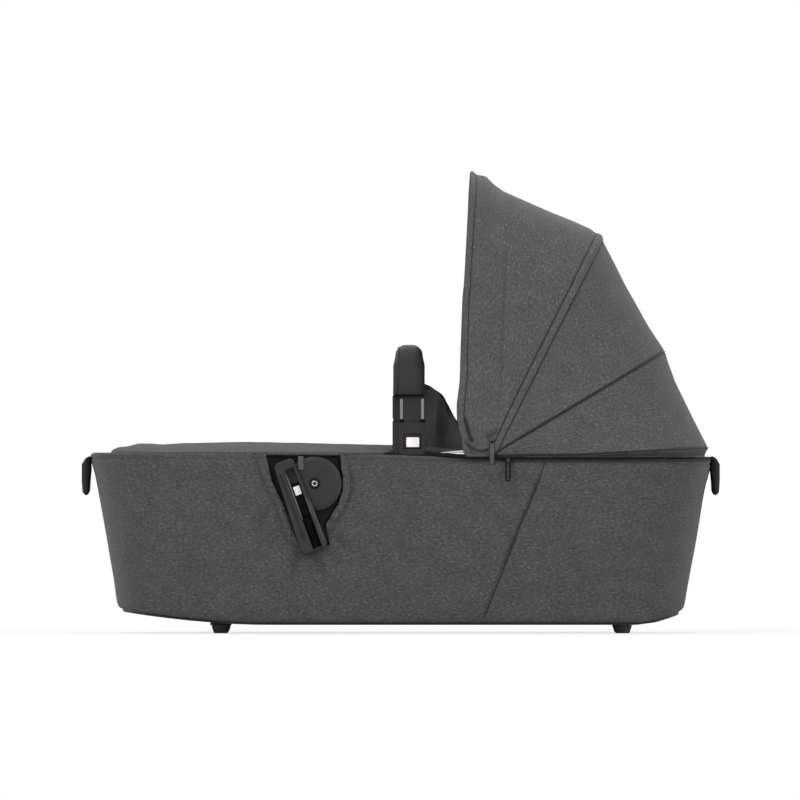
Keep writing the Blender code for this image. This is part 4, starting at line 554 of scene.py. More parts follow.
def lay_grid(name: str, grid: np.ndarray, closed: bool, outward: bool, thickness: float, middle: bool = True,
             plane: bool = False, marks: dict[str, np.ndarray] | None = None) -> bpy.types.Object:
    """Cloth from a grid of points, with a map in metres and a thickness on its inner side.

    Args:
        name: The piece's name.
        grid: Points, rows by columns.
        closed: True if the last column joins the first.
        outward: True if columns cross rows points to the visible side.
        thickness: The cloth's thickness.
        middle: True if the map is centred on the middle column.
        plane: True if the map is the plan itself.
        marks: Values for attributes by their names, one for each point.

    Returns:
        The piece.
    """
    rows, columns = grid.shape[:2]
    wide = np.concatenate([grid, grid[:, :1]], axis=1) if closed else grid
    across = np.linalg.norm(np.diff(wide, axis=1), axis=2)
    along = np.linalg.norm(np.diff(wide, axis=0), axis=2)
    u = np.concatenate([np.zeros((rows, 1)), np.cumsum(across, axis=1)], axis=1)
    v = np.concatenate([np.zeros((1, wide.shape[1])), np.cumsum(along, axis=0)], axis=0)
    if middle:
        u = u - u[:, wide.shape[1] // 2][:, None]
    if plane:
        u, v = wide[..., 0], wide[..., 1]
    faces, places = [], []
    for row in range(rows - 1):
        for column in range(wide.shape[1] - 1):
            after = (column + 1) % columns
            corners = [(row, column, column), (row, after, column + 1),
                       (row + 1, after, column + 1), (row + 1, column, column)]
            if not outward:
                corners.reverse()
            faces.append([r * columns + c for r, c, _ in corners])
            places += [(u[r, w], v[r, w]) for r, _, w in corners]
    piece = add_mesh(name, grid, faces)
    layer = piece.data.uv_layers.new(name="cloth")
    layer.data.foreach_set("uv", np.array(places, dtype=np.float32).ravel())
    for key, values in (marks or {}).items():
        mark = piece.data.attributes.new(key, "FLOAT", "POINT")
        mark.data.foreach_set("value", values.ravel().astype(np.float32))
    apply_modifier(piece, "SOLIDIFY", thickness=thickness, offset=-1.0, use_even_offset=False)
    return piece


def tube(name: str, path: np.ndarray, radius: float | np.ndarray, closed: bool = False, sides: int = 10,
         flat: float = 1.0, out: np.ndarray | None = None) -> bpy.types.Object:
    """Round or flattened cord along a path, as one closed mesh.

    Args:
        name: The piece's name.
        path: Points along the cord.
        radius: Its radius, or half its width where it is flattened, one or one for each point.
        closed: True for a loop.
        sides: Number of sides.
        flat: Its height as a share of its width.
        out: Direction of its height at each point.

    Returns:
        The piece.
    """
    count = len(path)
    if closed:
        ahead = np.roll(path, -1, 0) - np.roll(path, 1, 0)
    else:
        ahead = np.gradient(path, axis=0)
    ahead /= np.linalg.norm(ahead, axis=1, keepdims=True)
    up = np.tile([0.0, 0.0, 1.0], (count, 1)) if out is None else out.copy()
    up -= ahead * np.sum(up * ahead, axis=1, keepdims=True)
    up /= np.linalg.norm(up, axis=1, keepdims=True)
    side = np.cross(ahead, up)
    turn = 2.0 * math.pi * np.arange(sides) / sides
    ring = (side[:, None] * np.cos(turn)[None, :, None] + up[:, None] * np.sin(turn)[None, :, None] * flat)
    points = path[:, None] + ring * np.broadcast_to(radius, count)[:, None, None]
    piece = add_mesh(name, points, ring_faces(count, sides, closed))
    face_outward(piece)
    return piece


def spaced(path: np.ndarray, gap: float, values: np.ndarray) -> np.ndarray:
    """Values given at a path's points, read at even distances along it."""
    places = lengths_along(path)
    return resampled(places, values, np.arange(gap, places[-1] - gap / 2.0, gap))


def directions(points: np.ndarray) -> np.ndarray:
    """Unit directions along a line at its points."""
    ahead = np.gradient(points, axis=0)
    return ahead / np.linalg.norm(ahead, axis=1, keepdims=True)


def stitches(name: str, path: np.ndarray, outward: np.ndarray, gap: float = 0.0042) -> bpy.types.Object:
    """A row of sewn stitches along a path, all in one piece.

    Args:
        name: The piece's name.
        path: Points along the seam, on the cloth.
        outward: The cloth's outward direction, one for the row or one for each point.
        gap: Distance from stitch to stitch.

    Returns:
        The piece.
    """
    points = spaced(path, gap, path)
    outward = spaced(path, gap, np.broadcast_to(outward, path.shape))
    shape, corners = ((-0.5, 0.0), (-0.36, 1.0), (0.36, 1.0), (0.5, 0.0)), 6
    thick, rise, sunk, filled = 0.00032, 0.00018, 0.0001, 0.72
    vertices, faces = [], []
    for spot, run, away in zip(points, directions(points), outward):
        up = away - run * np.dot(away, run)
        up = up / np.linalg.norm(up)
        side = np.cross(run, up)
        first = len(vertices)
        for reach, size in shape:
            for corner in range(corners):
                angle = 2.0 * math.pi * corner / corners
                radius = thick * max(size, 0.3)
                lift = up * (rise * size - sunk + math.sin(angle) * radius)
                vertices.append(spot + run * reach * gap * filled + lift + side * math.cos(angle) * radius)
        faces += [face[:1] + face[:0:-1] for face in ring_faces(len(shape), corners, first=first)]
    return add_mesh(name, vertices, faces)


def plan_outline(half_length: float, half_width: float, end_depth: float, ends: int, straight: int) -> np.ndarray:
    """The tub's outline in plan, anticlockwise from the middle of the head end.

    Args:
        half_length: Half its length.
        half_width: Half its width.
        end_depth: How far each rounded end reaches inward.
        ends: Steps in each quarter of a rounded end.
        straight: Steps along each long side.

    Returns:
        X and Y of each point.
    """
    power = 2.0 / 2.8
    run = half_length - end_depth
    sweep = math.pi / 2.0 * np.arange(ends) / ends
    rising = np.stack([np.cos(sweep) ** power, np.sin(sweep) ** power], axis=1)
    falling = np.stack([np.sin(sweep) ** power, np.cos(sweep) ** power], axis=1)
    along = 1.0 - 2.0 * np.arange(straight) / straight

    def corner(shares: np.ndarray, sign_x: float, sign_y: float) -> np.ndarray:
        """A quarter of a rounded end."""
        return np.stack([sign_x * (run + end_depth * shares[:, 0]), sign_y * half_width * shares[:, 1]], axis=1)

    top = np.stack([run * along, np.full(straight, half_width)], axis=1)
    return np.concatenate([corner(rising, 1.0, 1.0), top, corner(falling, -1.0, 1.0),
                           corner(rising, -1.0, -1.0), -top, corner(falling, 1.0, -1.0)])


@dataclass
class Tub:
    """The tub: cloth cover, its trim, the lining and the mattress."""

    half_length: float = 0.4128
    half_width: float = 0.2050
    end_lean: float = 0.0358
    side_lean: float = 0.0200
    end_depth: float = 0.1500
    rim: float = 0.2365
    clearance: float = 0.0113
    foot_run: float = 0.1870
    head_run: float = 0.0520
    foot_rise: float = 0.0180
    head_rise: float = 0.0150
    cloth: float = 0.0016
    end_steps: int = 16
    side_steps: int = 168
    recess: Line = (
        (-0.1835, 0.2365), (-0.1713, 0.2015), (-0.1567, 0.1710), (-0.1407, 0.1283), (-0.1340, 0.1174),
        (-0.0942, 0.1174), (-0.0995, 0.1457), (-0.0835, 0.1696), (-0.0763, 0.1909), (-0.0763, 0.2108),
        (-0.0830, 0.2365))
    seam: Line = (
        (0.1925, 0.2300), (0.1880, 0.2150), (0.1718, 0.1736), (0.1567, 0.1403), (0.1359, 0.0845),
        (0.1230, 0.0520), (0.1115, 0.0230))

    folds: tuple[tuple[Spot, Spot, float], ...] = (
        ((-0.134, 0.108), (-0.150, 0.060), 0.0020), ((-0.112, 0.104), (-0.098, 0.066), 0.0020),
        ((-0.088, 0.128), (-0.058, 0.105), 0.0016), ((-0.176, 0.168), (-0.196, 0.128), 0.0015))
    rim_shift: Line = ((-0.4130, -0.0026), (-0.4108, 0.0002), (-0.4075, 0.0019), (-0.36, 0.0012), (-0.20, 0.0),
                       (-0.02, -0.0006), (0.04, -0.0026), (0.09, -0.0068), (0.42, -0.0068))
    head_bulge: Line = ((0.03, 0.0), (0.08, 0.0011), (0.20, 0.0014), (0.228, 0.0024))
    foot_bulge: Line = ((0.19, 0.0), (0.215, 0.0008), (0.232, 0.0021))
    hem: Line = ((0.0062, 0.0033), (0.0036, 0.0035), (0.0017, 0.0052), (0.0006, 0.0080), (0.0, 0.0118))
    bead_foot: Line = ((0.0001, -0.0062), (0.0012, -0.0048), (0.0009, -0.0034))
    bead_half: float = 0.00265
    bead_rise: float = 0.0036
    bead_sunk: float = 0.0016
    lining_top: Line = ((0.0205, 0.0009), (0.0214, 0.0017), (0.0230, 0.0020), (0.0246, 0.0012))
    edge_corner: float = 0.0044
    edge_radius: float = 0.0047
    edge_top: float = 0.0075
    floor: float = 0.0303
    mattress_low: float = 0.0331
    mattress_tall: float = 0.0290
    mattress_seam: float = 0.0500

    def base(self, x: np.ndarray) -> np.ndarray:
        """Height of the underside, which rises toward both ends."""
        half = self.half_length - self.end_lean
        foot = np.clip((self.foot_run - half - x) / self.foot_run, 0.0, 1.0)
        head = np.clip((x + self.head_run - half) / self.head_run, 0.0, 1.0)
        return self.clearance + self.foot_rise * foot ** 1.6 + self.head_rise * head ** 1.2

    def outline(self, share: float, inset: float) -> np.ndarray:
        """Plan outline at a share of the height, moved inward."""
        lean = 1.0 - share
        return plan_outline(self.half_length - self.end_lean * lean - inset,
                            self.half_width - self.side_lean * lean - inset,
                            self.end_depth - inset, self.end_steps, self.side_steps)

    def level(self, share: float, inset: float = 0.0, lift: float = 0.0) -> np.ndarray:
        """A ring on the sloping wall, at a share between base and rim, moved inward and up the slope."""
        foot, low, high = self.outline(0.0, 0.0), self.outline(0.0, inset), self.outline(1.0, inset)
        base = self.base(foot[:, 0])
        level = (share + lift / (self.rim - base))[:, None]
        flat = low + (high - low) * level
        height = base[:, None] + (self.rim - base[:, None]) * level
        return np.concatenate([flat, height], axis=1)

    def side_point(self, x: float, z: float, side: Side, out: float = 0.0) -> np.ndarray:
        """A place on a long side's wall."""
        share = (z - self.clearance) / (self.rim - self.clearance)
        return np.array([x, side.value * (self.half_width - self.side_lean * (1.0 - share) + out), z])

    def settle_rim(self, grid: np.ndarray) -> np.ndarray:
        """Shape the rim as in the photo: lower under the hood, rounded at the foot, both ends a little outward.

        Args:
            grid: Points of the cover, which are moved.

        Returns:
            The same points.
        """
        x, z = grid[..., 0], grid[..., 2]
        shift = np.interp(x, *zip(*self.rim_shift))
        head = np.interp(z, *zip(*self.head_bulge)) * smooth_step(x, 0.33, 0.40)
        foot = np.interp(z, *zip(*self.foot_bulge)) * smooth_step(-x, 0.36, 0.41)
        grid[..., 2] += shift * smooth_step(z, 0.180, 0.232)
        grid[..., 0] += head - foot
        return grid

    def cover(self) -> None:
        """The cloth wall with its hem on the tray, a padded bead at the rim and the two recesses."""
        rows = [(0.0, inset, lift) for inset, lift in self.hem]
        rows += [(share, 0.0, 0.0) for share in np.linspace(0.075, 0.955, 64)]
        rows += [(1.0, inset, lift) for inset, lift in self.bead_foot]
        rows += [(1.0, self.bead_half * (1.0 - math.cos(angle)), self.bead_rise * math.sin(angle) - self.bead_sunk)
                 for angle in np.radians(np.linspace(0.0, 180.0, 10))]
        rows += [(1.0, 2.0 * self.bead_half, -0.0028)]
        grid = np.stack([self.level(*row) for row in rows])
        normal = grid_normals(grid, True)
        drift = ripple(grid, (9.0, 9.0, 13.0)) * 0.0011 + ripple(grid, (34.0, 34.0, 19.0), 7.3) * 0.00035
        wall = smooth_step(grid[..., 2], 0.035, 0.07) * (1.0 - smooth_step(grid[..., 2], 0.200, 0.226))
        pucker = ripple(grid, (150.0, 150.0, 20.0), 3.1) * 0.00028 * smooth_step(grid[..., 2], 0.205, 0.232)
        grid = grid + normal * ((drift - 0.0006) * wall + pucker)[..., None]
        shift, crease_and_shade = self.pull_at_recess(grid)
        # Painted shadow: the top of the rim's bead toward the head end is darkened where the hood's band overhangs
        # it.
        crease_and_shade += 1.1 * smooth_step(grid[..., 0], 0.04, 0.10) * smooth_step(grid[..., 2], 0.2325, 0.2372)
        grid = self.settle_rim(grid + normal * shift[..., None])
        piece = lay_grid("cover_cloth", grid, True, True, self.cloth, middle=False, marks={"crease_and_shade": crease_and_shade})
        for side in Side:
            self.cut_recess(piece, side)
        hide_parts("tub_cover")
        settle(piece, Finish.TUB, sharp=55.0)

    def pull_at_recess(self, grid: np.ndarray) -> tuple[np.ndarray, np.ndarray]:
        """Soft folds at the foot of each recess and the valley beside its padded edge, with painted shade in them.

        Args:
            grid: Points of the cover.

        Returns:
            How far each point moves outward, and how far painted shade darkens it, from 0 to 1.
        """
        x, z = grid[..., 0], grid[..., 2]
        side = smooth_step(np.abs(grid[..., 1]), 0.16, 0.18)
        shift = np.zeros(x.shape)
        crease_and_shade = np.zeros(x.shape)
        for (start_x, start_z), (end_x, end_z), depth in self.folds:
            run = np.array([end_x - start_x, end_z - start_z])
            length = np.linalg.norm(run)
            along = ((x - start_x) * run[0] + (z - start_z) * run[1]) / length ** 2
            across = ((x - start_x) * run[1] - (z - start_z) * run[0]) / length
            fade = smooth_step(along, -0.15, 0.05) * (1.0 - smooth_step(along, 0.35, 1.0))
            shift -= depth * fade * np.exp(-(across / 0.0065) ** 2)
            shift += depth * 0.9 * fade * np.exp(-((np.abs(across) - 0.012) / 0.006) ** 2)
            # Painted shade along the fold's valley.
            crease_and_shade += 0.30 * fade * np.exp(-(across / 0.0045) ** 2)
        for edge in (self.recess[:4], self.recess[6:]):
            away = nearest(x, z, edge)
            shift -= 0.0012 * np.exp(-((away - 0.0115) / 0.0030) ** 2)
            # Painted shade in the valley beside the padded edge.
            crease_and_shade += 0.26 * np.exp(-((away - 0.0115) / 0.0026) ** 2)
        # A hollow under the arm's foot, pushed in and darkened with painted shadow.
        hollow = np.exp(-((x + 0.1185) / 0.012) ** 2 - ((z - 0.1130) / 0.0065) ** 2)
        shift -= 0.0022 * hollow
        crease_and_shade += 0.75 * hollow
        return np.maximum(shift, -0.0010) * side, np.clip(crease_and_shade, 0.0, 1.0) * side

    def cut_recess(self, piece: bpy.types.Object, side: Side) -> None:
        """Cut the recess for a chassis bracket out of the cloth, open at the rim."""
        outline = [(self.recess[0][0], self.rim + 0.02), *self.recess[1:-1], (self.recess[-1][0], self.rim + 0.02)]
        near, far = side.value * (self.half_width - 0.035), side.value * (self.half_width + 0.02)
        tool = add_mesh("recess_tool", [(x, y, z) for y in (near, far) for x, z in outline],
                        ring_faces(2, len(outline)))
        face_outward(tool)
        apply_modifier(piece, "BOOLEAN", operation="DIFFERENCE", object=tool, solver="EXACT")
        bpy.data.objects.remove(tool)

    def wall_path(self, spots: Line, side: Side, steps: int, out: float) -> np.ndarray:
        """A smooth line through places on a long side's wall."""
        return np.array([self.side_point(x, z, side, out) for x, z in soft_line(spots, steps, 4)])

    def trim(self, side: Side) -> None:
        """Padded edges of one recess and the slanting seam."""
        name = side.name.lower()
        out = np.array([0.0, side.value, 0.0])
        for label, beside, spots in (("foot", -self.edge_corner, self.recess[:4]),
                                     ("head", self.edge_corner, self.recess[6:])):
            spots = tuple((x + beside, min(z, self.rim - self.edge_top)) for x, z in spots)
            path = self.wall_path(spots, side, 56, 0.0002)
            ends = np.clip(1.0 - np.abs(np.linspace(-1.0, 1.0, 56)) ** 7, 0.03, 1.0)
            edge = tube(f"recess_edge_{label}_{name}", path, self.edge_radius * ends, sides=14, flat=0.55,
                        out=np.tile(out, (len(path), 1)))
            settle(edge, Finish.TUB_TRIM)
        seam = self.wall_path(self.seam, side, 70, 0.0002)
        settle(tube(f"side_seam_{name}", seam, 0.00085, sides=8, flat=0.7, out=np.tile(out, (len(seam), 1))),
               Finish.THREAD)
        beside = self.wall_path(tuple((x - 0.0032, z) for x, z in self.seam), side, 70, 0.0003)
        settle(stitches(f"side_seam_stitches_{name}", beside, out), Finish.THREAD)

    def lining(self) -> None:
        """Light lining down the walls and over the base board, rolled over the frame at the rim."""
        rings = [self.level(1.0, inset, lift) for inset, lift in self.lining_top]
        rings += [self.level(share, self.lining_top[-1][0]) for share in np.linspace(0.975, 0.14, 34)]
        floor = self.floor + self.cloth
        wall = rings[-1]
        for turn in np.radians(np.linspace(12.0, 90.0, 6)):
            ring = wall.copy()
            ring[:, :2] *= 1.0 - 0.030 * (1.0 - math.cos(turn))
            ring[:, 2] = wall[:, 2] + (floor - wall[:, 2]) * math.sin(turn)
            rings.append(ring)
        for scale in (0.90, 0.72, 0.48, 0.24, 0.02):
            ring = wall.copy()
            ring[:, :2] *= scale
            ring[:, 2] = floor
            rings.append(ring)
        grid = np.stack(rings)
        normal = grid_normals(grid, True)
        wall_share = smooth_step(grid[..., 2], 0.07, 0.12) * (1.0 - smooth_step(grid[..., 2], 0.212, 0.232))
        folds = ripple(grid, (42.0, 42.0, 5.0), 2.2) * 0.0011 + ripple(grid, (12.0, 12.0, 9.0), 5.0) * 0.0012
        grid = grid + normal * ((folds - 0.0012) * wall_share)[..., None]
        piece = lay_grid("lining_cloth", grid, True, True, 0.0012, middle=False)
        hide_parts("lining")
        settle(piece, Finish.LINING, sharp=60.0)

    def mattress(self) -> None:
        """Stuffed mattress: a lower shape blown up as cloth, with a corded seam round it."""
        outline = self.outline(0.18, 0.0395)
        rings = []
        for rise, scale in ((0.04, 0.955), (0.20, 0.985), (0.50, 1.0), (0.78, 0.985), (0.96, 0.945)):
            height = self.mattress_low + self.mattress_tall * rise
            rings.append(np.insert(outline * scale, 2, height, axis=1))
        piece = add_mesh("mattress_body", rings, ring_faces(len(rings), len(outline)))
        swell(piece, voxel=0.0065, pressure=3.2, cap=0.0075, floor=0.0334)
        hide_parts("mattress")
        settle(piece, Finish.MATTRESS, sharp=80.0)
        edge = np.insert(self.outline(0.18, 0.0352), 2, self.mattress_seam, axis=1)
        settle(tube("mattress_cord", edge, 0.0018, closed=True, sides=8), Finish.MATTRESS)

    def build(self) -> None:
        """Make every cloth piece of the tub and give its hard parts their finish."""
        self.cover()
        for side in Side:
            self.trim(side)
        self.lining()
        self.mattress()
        dress_solids(Finish.TRAY, "base_tray")
        dress_solids(Finish.FRAME, "rim_frame_foot", "rim_frame_head")
        dress_solids(Finish.BOARD, "side_board_left", "side_board_right", "foot_board", "head_board", "base_board")
        dress_solids(Finish.GRIP_BLACK, "end_grip_foot", "end_grip_head")
        for place in ("foot_left", "foot_right", "head_left", "head_right"):
            dress_solids(Finish.RUBBER, f"floor_pad_{place}")
            dress_solids(Finish.STEEL, f"pad_screw_{place}")


def swell(piece: bpy.types.Object, voxel: float | None, pressure: float, cap: float, floor: float) -> None:
    """Blow a closed shape up as cloth and keep the result.

    Args:
        piece: The piece.
        voxel: Size of the remesh that comes first, or None.
        pressure: Air pressure inside.
        cap: The furthest that a point may move.
        floor: Height that nothing goes below.
    """
    if voxel:
        apply_modifier(piece, "REMESH", mode="VOXEL", voxel_size=voxel)
    start = moved = read_points(piece)
    cloth = piece.modifiers.new("cloth", "CLOTH")
    cloth.settings.quality = 4
    cloth.settings.mass = 0.3
    cloth.settings.tension_stiffness = 20.0
    cloth.settings.compression_stiffness = 20.0
    cloth.settings.bending_stiffness = 0.6
    cloth.settings.use_pressure = True
    cloth.settings.uniform_pressure_force = pressure
    cloth.settings.effector_weights.gravity = 0.0
    cloth.collision_settings.use_collision = False
    scene = bpy.context.scene
    for step in range(1, 21):
        scene.frame_set(step)
    shift = read_points(piece.evaluated_get(bpy.context.evaluated_depsgraph_get())) - start
    piece.modifiers.remove(cloth)
    scene.frame_set(1)
    length = np.linalg.norm(shift, axis=1, keepdims=True)
    moved = start + shift * np.minimum(1.0, cap / np.maximum(length, 1e-9))
    moved[:, 2] = np.maximum(moved[:, 2], floor)
    write_points(piece, moved)
    apply_modifier(piece, "SUBSURF", levels=1, render_levels=1)


@dataclass
class Apron:
    """The cloth cover over the foot half and the wind collar that stands on its front edge."""

    tub: Tub
    end_inset: float = 0.0262
    side_inset: float = 0.0065
    edge_rise: float = 0.0030
    crest: Line = (
        (-0.3866, 0.0), (-0.3829, 0.0044), (-0.3753, 0.0070), (-0.3642, 0.0078), (-0.3562, 0.0106),
        (-0.3487, 0.0120), (-0.3336, 0.0117), (-0.3184, 0.0105), (-0.3070, 0.0112), (-0.2863, 0.0127),
        (-0.1870, 0.0137), (-0.1340, 0.0127), (-0.0140, 0.0099), (0.0800, 0.0090))
    notch_x: float = -0.0150
    notch_y: float = 0.1710
    front_x: float = 0.0100
    tip_x: float = 0.0810
    collar_profile: Line = (
        (0.0, 0.0885), (0.182, 0.0868), (0.298, 0.0829), (0.487, 0.0752), (0.606, 0.0657), (0.646, 0.0565),
        (0.710, 0.0455), (0.794, 0.0386), (0.861, 0.0290), (0.93, 0.0230), (1.0, 0.0160))
    collar_run: float = 0.0070
    notch_binding: dict[str, tuple[Row, ...]] = field(default_factory=lambda: {
        "foot": ((-0.0260, 0.2375, 0.0008), (-0.0210, 0.2390, 0.0020), (-0.0104, 0.2396, 0.0026)),
        "head": ((0.0322, 0.2402, 0.0028), (0.0450, 0.2393, 0.0024), (0.0620, 0.2380, 0.0018),
                 (0.0860, 0.2370, 0.0008))})
    collar_spread: float = 0.1650
    setback: float = 0.0045
    # Column and radius of the black cords that paint shade on the collar beside the handle's legs.
    shade_strip_column: int = 32
    shade_strip_radius: float = 0.0018
    binding: float = 0.0036
    binding_drop: float = 0.0029
    binding_squeeze: float = 0.52
    centre: Spot = (-0.1857, 0.0)
    lining_roll: tuple[Row, Row] = ((0.0520, 0.2403, 0.0005), (0.0860, 0.2424, 0.0018))
    roll_y: float = 0.1930
    notch_binding_y: float = 0.1983

    def height(self, flat: np.ndarray) -> np.ndarray:
        """Height of the upper side, domed and a little uneven over the bedding."""
        ring = plan_outline(self.tub.half_length - self.end_inset, self.tub.half_width - self.side_inset,
                            self.tub.end_depth - self.end_inset, 40, 40)
        edge = ring[(ring[:, 1] >= 0.0) & (ring[:, 0] < 0.1)]
        edge = edge[np.lexsort((edge[:, 1], edge[:, 0]))]
        half_width = np.maximum(np.interp(flat[..., 0], edge[:, 0], edge[:, 1]), 0.004)
        across = np.clip(np.abs(flat[..., 1]) / half_width, 0.0, 1.0)
        spots, rises = zip(*self.crest)
        crest = sum(np.interp(flat[..., 0] + step, spots, rises) for step in (-0.002, 0.0, 0.002)) / 3.0
        return self.tub.rim + self.edge_rise + crest * (1.0 - across ** 2.4)

    def outline(self) -> np.ndarray:
        """The apron's edge in plan, closed."""
        ring = plan_outline(self.tub.half_length - self.end_inset, self.tub.half_width - self.side_inset,
                            self.tub.end_depth - self.end_inset, 20, 120)
        foot = ring[ring[:, 0] < self.notch_x]
        across = np.linspace(-1.0, 1.0, 90)
        front = np.stack([self.front_x + (self.tip_x - self.front_x) * np.abs(across) ** 1.7,
                          self.notch_y * across], axis=1)
        back = np.linspace(self.tip_x, self.notch_x, 24)[1:]
        right = np.stack([back, np.full(len(back), self.notch_y)], axis=1)
        step = np.linspace(self.notch_y, self.tub.half_width - self.side_inset, 8)[1:]
        shoulder = np.stack([np.full(len(step), self.notch_x), step], axis=1)
        left = np.concatenate([right, shoulder])[::-1] * np.array([1.0, -1.0])
        return np.concatenate([front, right, shoulder, foot, left])

    def cloth(self) -> None:
        """The domed sheet with its corded edge and a row of stitches."""
        outline = self.outline()
        centre = np.array(self.centre)
        rings = []
        for share in (1.0, 0.996, 0.99, 0.98, *np.linspace(0.965, 0.02, 44), 0.001):
            flat = centre + (outline - centre) * share
            drop = 0.0014 * (1.0 - smooth_step(1.0 - share, 0.0, 0.012))
            rings.append(np.concatenate([flat, (self.height(flat) - drop)[:, None]], axis=1))
        grid = np.stack(rings[::-1])
        inner = smooth_step(np.linalg.norm(grid[..., :2] - grid[-1, :, :2], axis=2), 0.0, 0.03)
        folds = ripple(grid, (16.0, 22.0, 1.0), 4.0) * 0.0010 + ripple(grid, (60.0, 46.0, 1.0), 9.0) * 0.0004
        grid[..., 2] += (folds - 0.0005) * inner
        piece = lay_grid("apron_cloth", grid, True, True, 0.0016, plane=True)
        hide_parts("apron")
        settle(piece, Finish.APRON, sharp=60.0)
        path = np.concatenate([outline, (self.height(outline) - 0.0006)[:, None]], axis=1)
        settle(tube("apron_cord", path, 0.0014, closed=True, sides=8), Finish.TUB_TRIM)
        inside = centre + (outline[180:] - centre) * 0.972
        row = np.concatenate([inside, (self.height(inside) + 0.0003)[:, None]], axis=1)
        settle(stitches("apron_stitches", row, np.array([0.0, 0.0, 1.0])), Finish.THREAD)

    def collar_grid(self, rises: np.ndarray, columns: int) -> np.ndarray:
        """Points of the collar, rows upward and columns from the left tip to the right one."""
        across = np.linspace(-1.0, 1.0, columns)[None, :]
        reach = np.abs(across) ** 1.7
        height = softened(np.interp(reach, *zip(*self.collar_profile)).T, 4).T
        ahead = (self.tip_x + self.collar_run - self.front_x) * reach
        x = self.front_x + ahead - self.setback + 0.006 * rises[:, None] ** 2
        y = self.collar_spread * across + 0.0 * x
        foot = self.height(np.stack([x, y], axis=2)) + 0.0006
        grid = np.stack([x, y, foot + height * rises[:, None]], axis=2)
        normal = grid_normals(grid, False)
        waves = np.sin(across * 21.0 + 0.6 * np.sin(across * 7.0)) * 0.0026 + np.sin(across * 47.0 + 1.0) * 0.0011
        swing = smooth_step(rises[:, None], 0.0, 0.5) * (1.0 - 0.35 * smooth_step(rises[:, None], 0.8, 1.0))
        return grid + normal * (waves * swing * np.minimum(height / 0.04, 1.0))[..., None]

    def collar(self) -> None:
        """The standing collar: thin cloth in loose upright folds with a black ribbon round its edge."""
        rises = np.linspace(0.0, 0.985, 26)
        piece = lay_grid("collar_cloth", self.collar_grid(rises, 150), False, True, 0.0014)
        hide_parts("apron_collar")
        settle(piece, Finish.COLLAR, sharp=60.0)
        edge = self.collar_grid(np.array([0.0, 0.955, 0.985]), 150)
        # Painted shade: a black cord up each side of the collar, beside the handle's leg, where the collar lies in
        # shade.
        shade_strip_rows = self.collar_grid(np.linspace(0.02, 0.95, 30), 150)
        for side, column in ((Side.LEFT, self.shade_strip_column), (Side.RIGHT, -1 - self.shade_strip_column)):
            settle(tube(f"collar_dart_{side.name.lower()}", shade_strip_rows[:, column], self.shade_strip_radius, sides=8),
                   Finish.BINDING_TRIM)
        path = edge[2] - np.array([0.0, 0.0, self.binding_drop])
        up = edge[2] - edge[1]
        ribbon = tube("collar_binding", path, self.binding, sides=12, out=up / np.linalg.norm(up, axis=1)[:, None])
        squeeze = read_points(ribbon).reshape(len(path), 12, 3)
        normal = np.cross(np.gradient(path, axis=0), up)
        normal /= np.linalg.norm(normal, axis=1)[:, None]
        depth = np.einsum("nkj,nj->nk", squeeze - path[:, None], normal)
        squeeze -= depth[..., None] * normal[:, None] * self.binding_squeeze
        write_points(ribbon, squeeze)
        settle(ribbon, Finish.BINDING_TRIM)
        for side in Side:
            x, z, radius = (np.linspace(*ends, 18) for ends in zip(*self.lining_roll))
            roll = np.stack([x, np.full(18, side.value * self.roll_y), z], axis=1)
            settle(tube(f"lining_roll_{side.name.lower()}", roll, radius), Finish.MATTRESS)
            for label, spots in self.notch_binding.items():
                steps = np.linspace(0.0, len(spots) - 1.0, 24)
                x, z, radius = (np.interp(steps, range(len(spots)), values) for values in zip(*spots))
                path = np.stack([x, np.full(24, side.value * self.notch_binding_y), z], axis=1)
                settle(tube(f"notch_binding_{label}_{side.name.lower()}", path, radius), Finish.BINDING_TRIM)

    def build(self) -> None:
        """Make the apron and its collar."""
        self.cloth()
        self.collar()


@dataclass(frozen=True)
class Cut:
    """How one panel of the hood is cut, drawn in and sewn.

    Attributes:
        name: The piece's name.
        node: The solid that it stands for.
        bodies: The bodies at its first and second line; not used.
        rows: Rows of points between its seams.
        sag: Places from 0 to 1 and how far the cloth is drawn in there, in metres.
        seed: Start of the creases' noise.
        shaded_seams: Sewn lines darkened with painted shade: distance from a seam, whether that is the second one,
            and the shade's depth.
        flat: Width and length of the cut cloth; not used.
        area: Area of the cut cloth; not used.
    """

    name: str
    node: str
    bodies: tuple[str, str]
    rows: int
    sag: Line
    seed: float
    shaded_seams: tuple[tuple[float, bool, float], ...]
    flat: Spot
    area: float


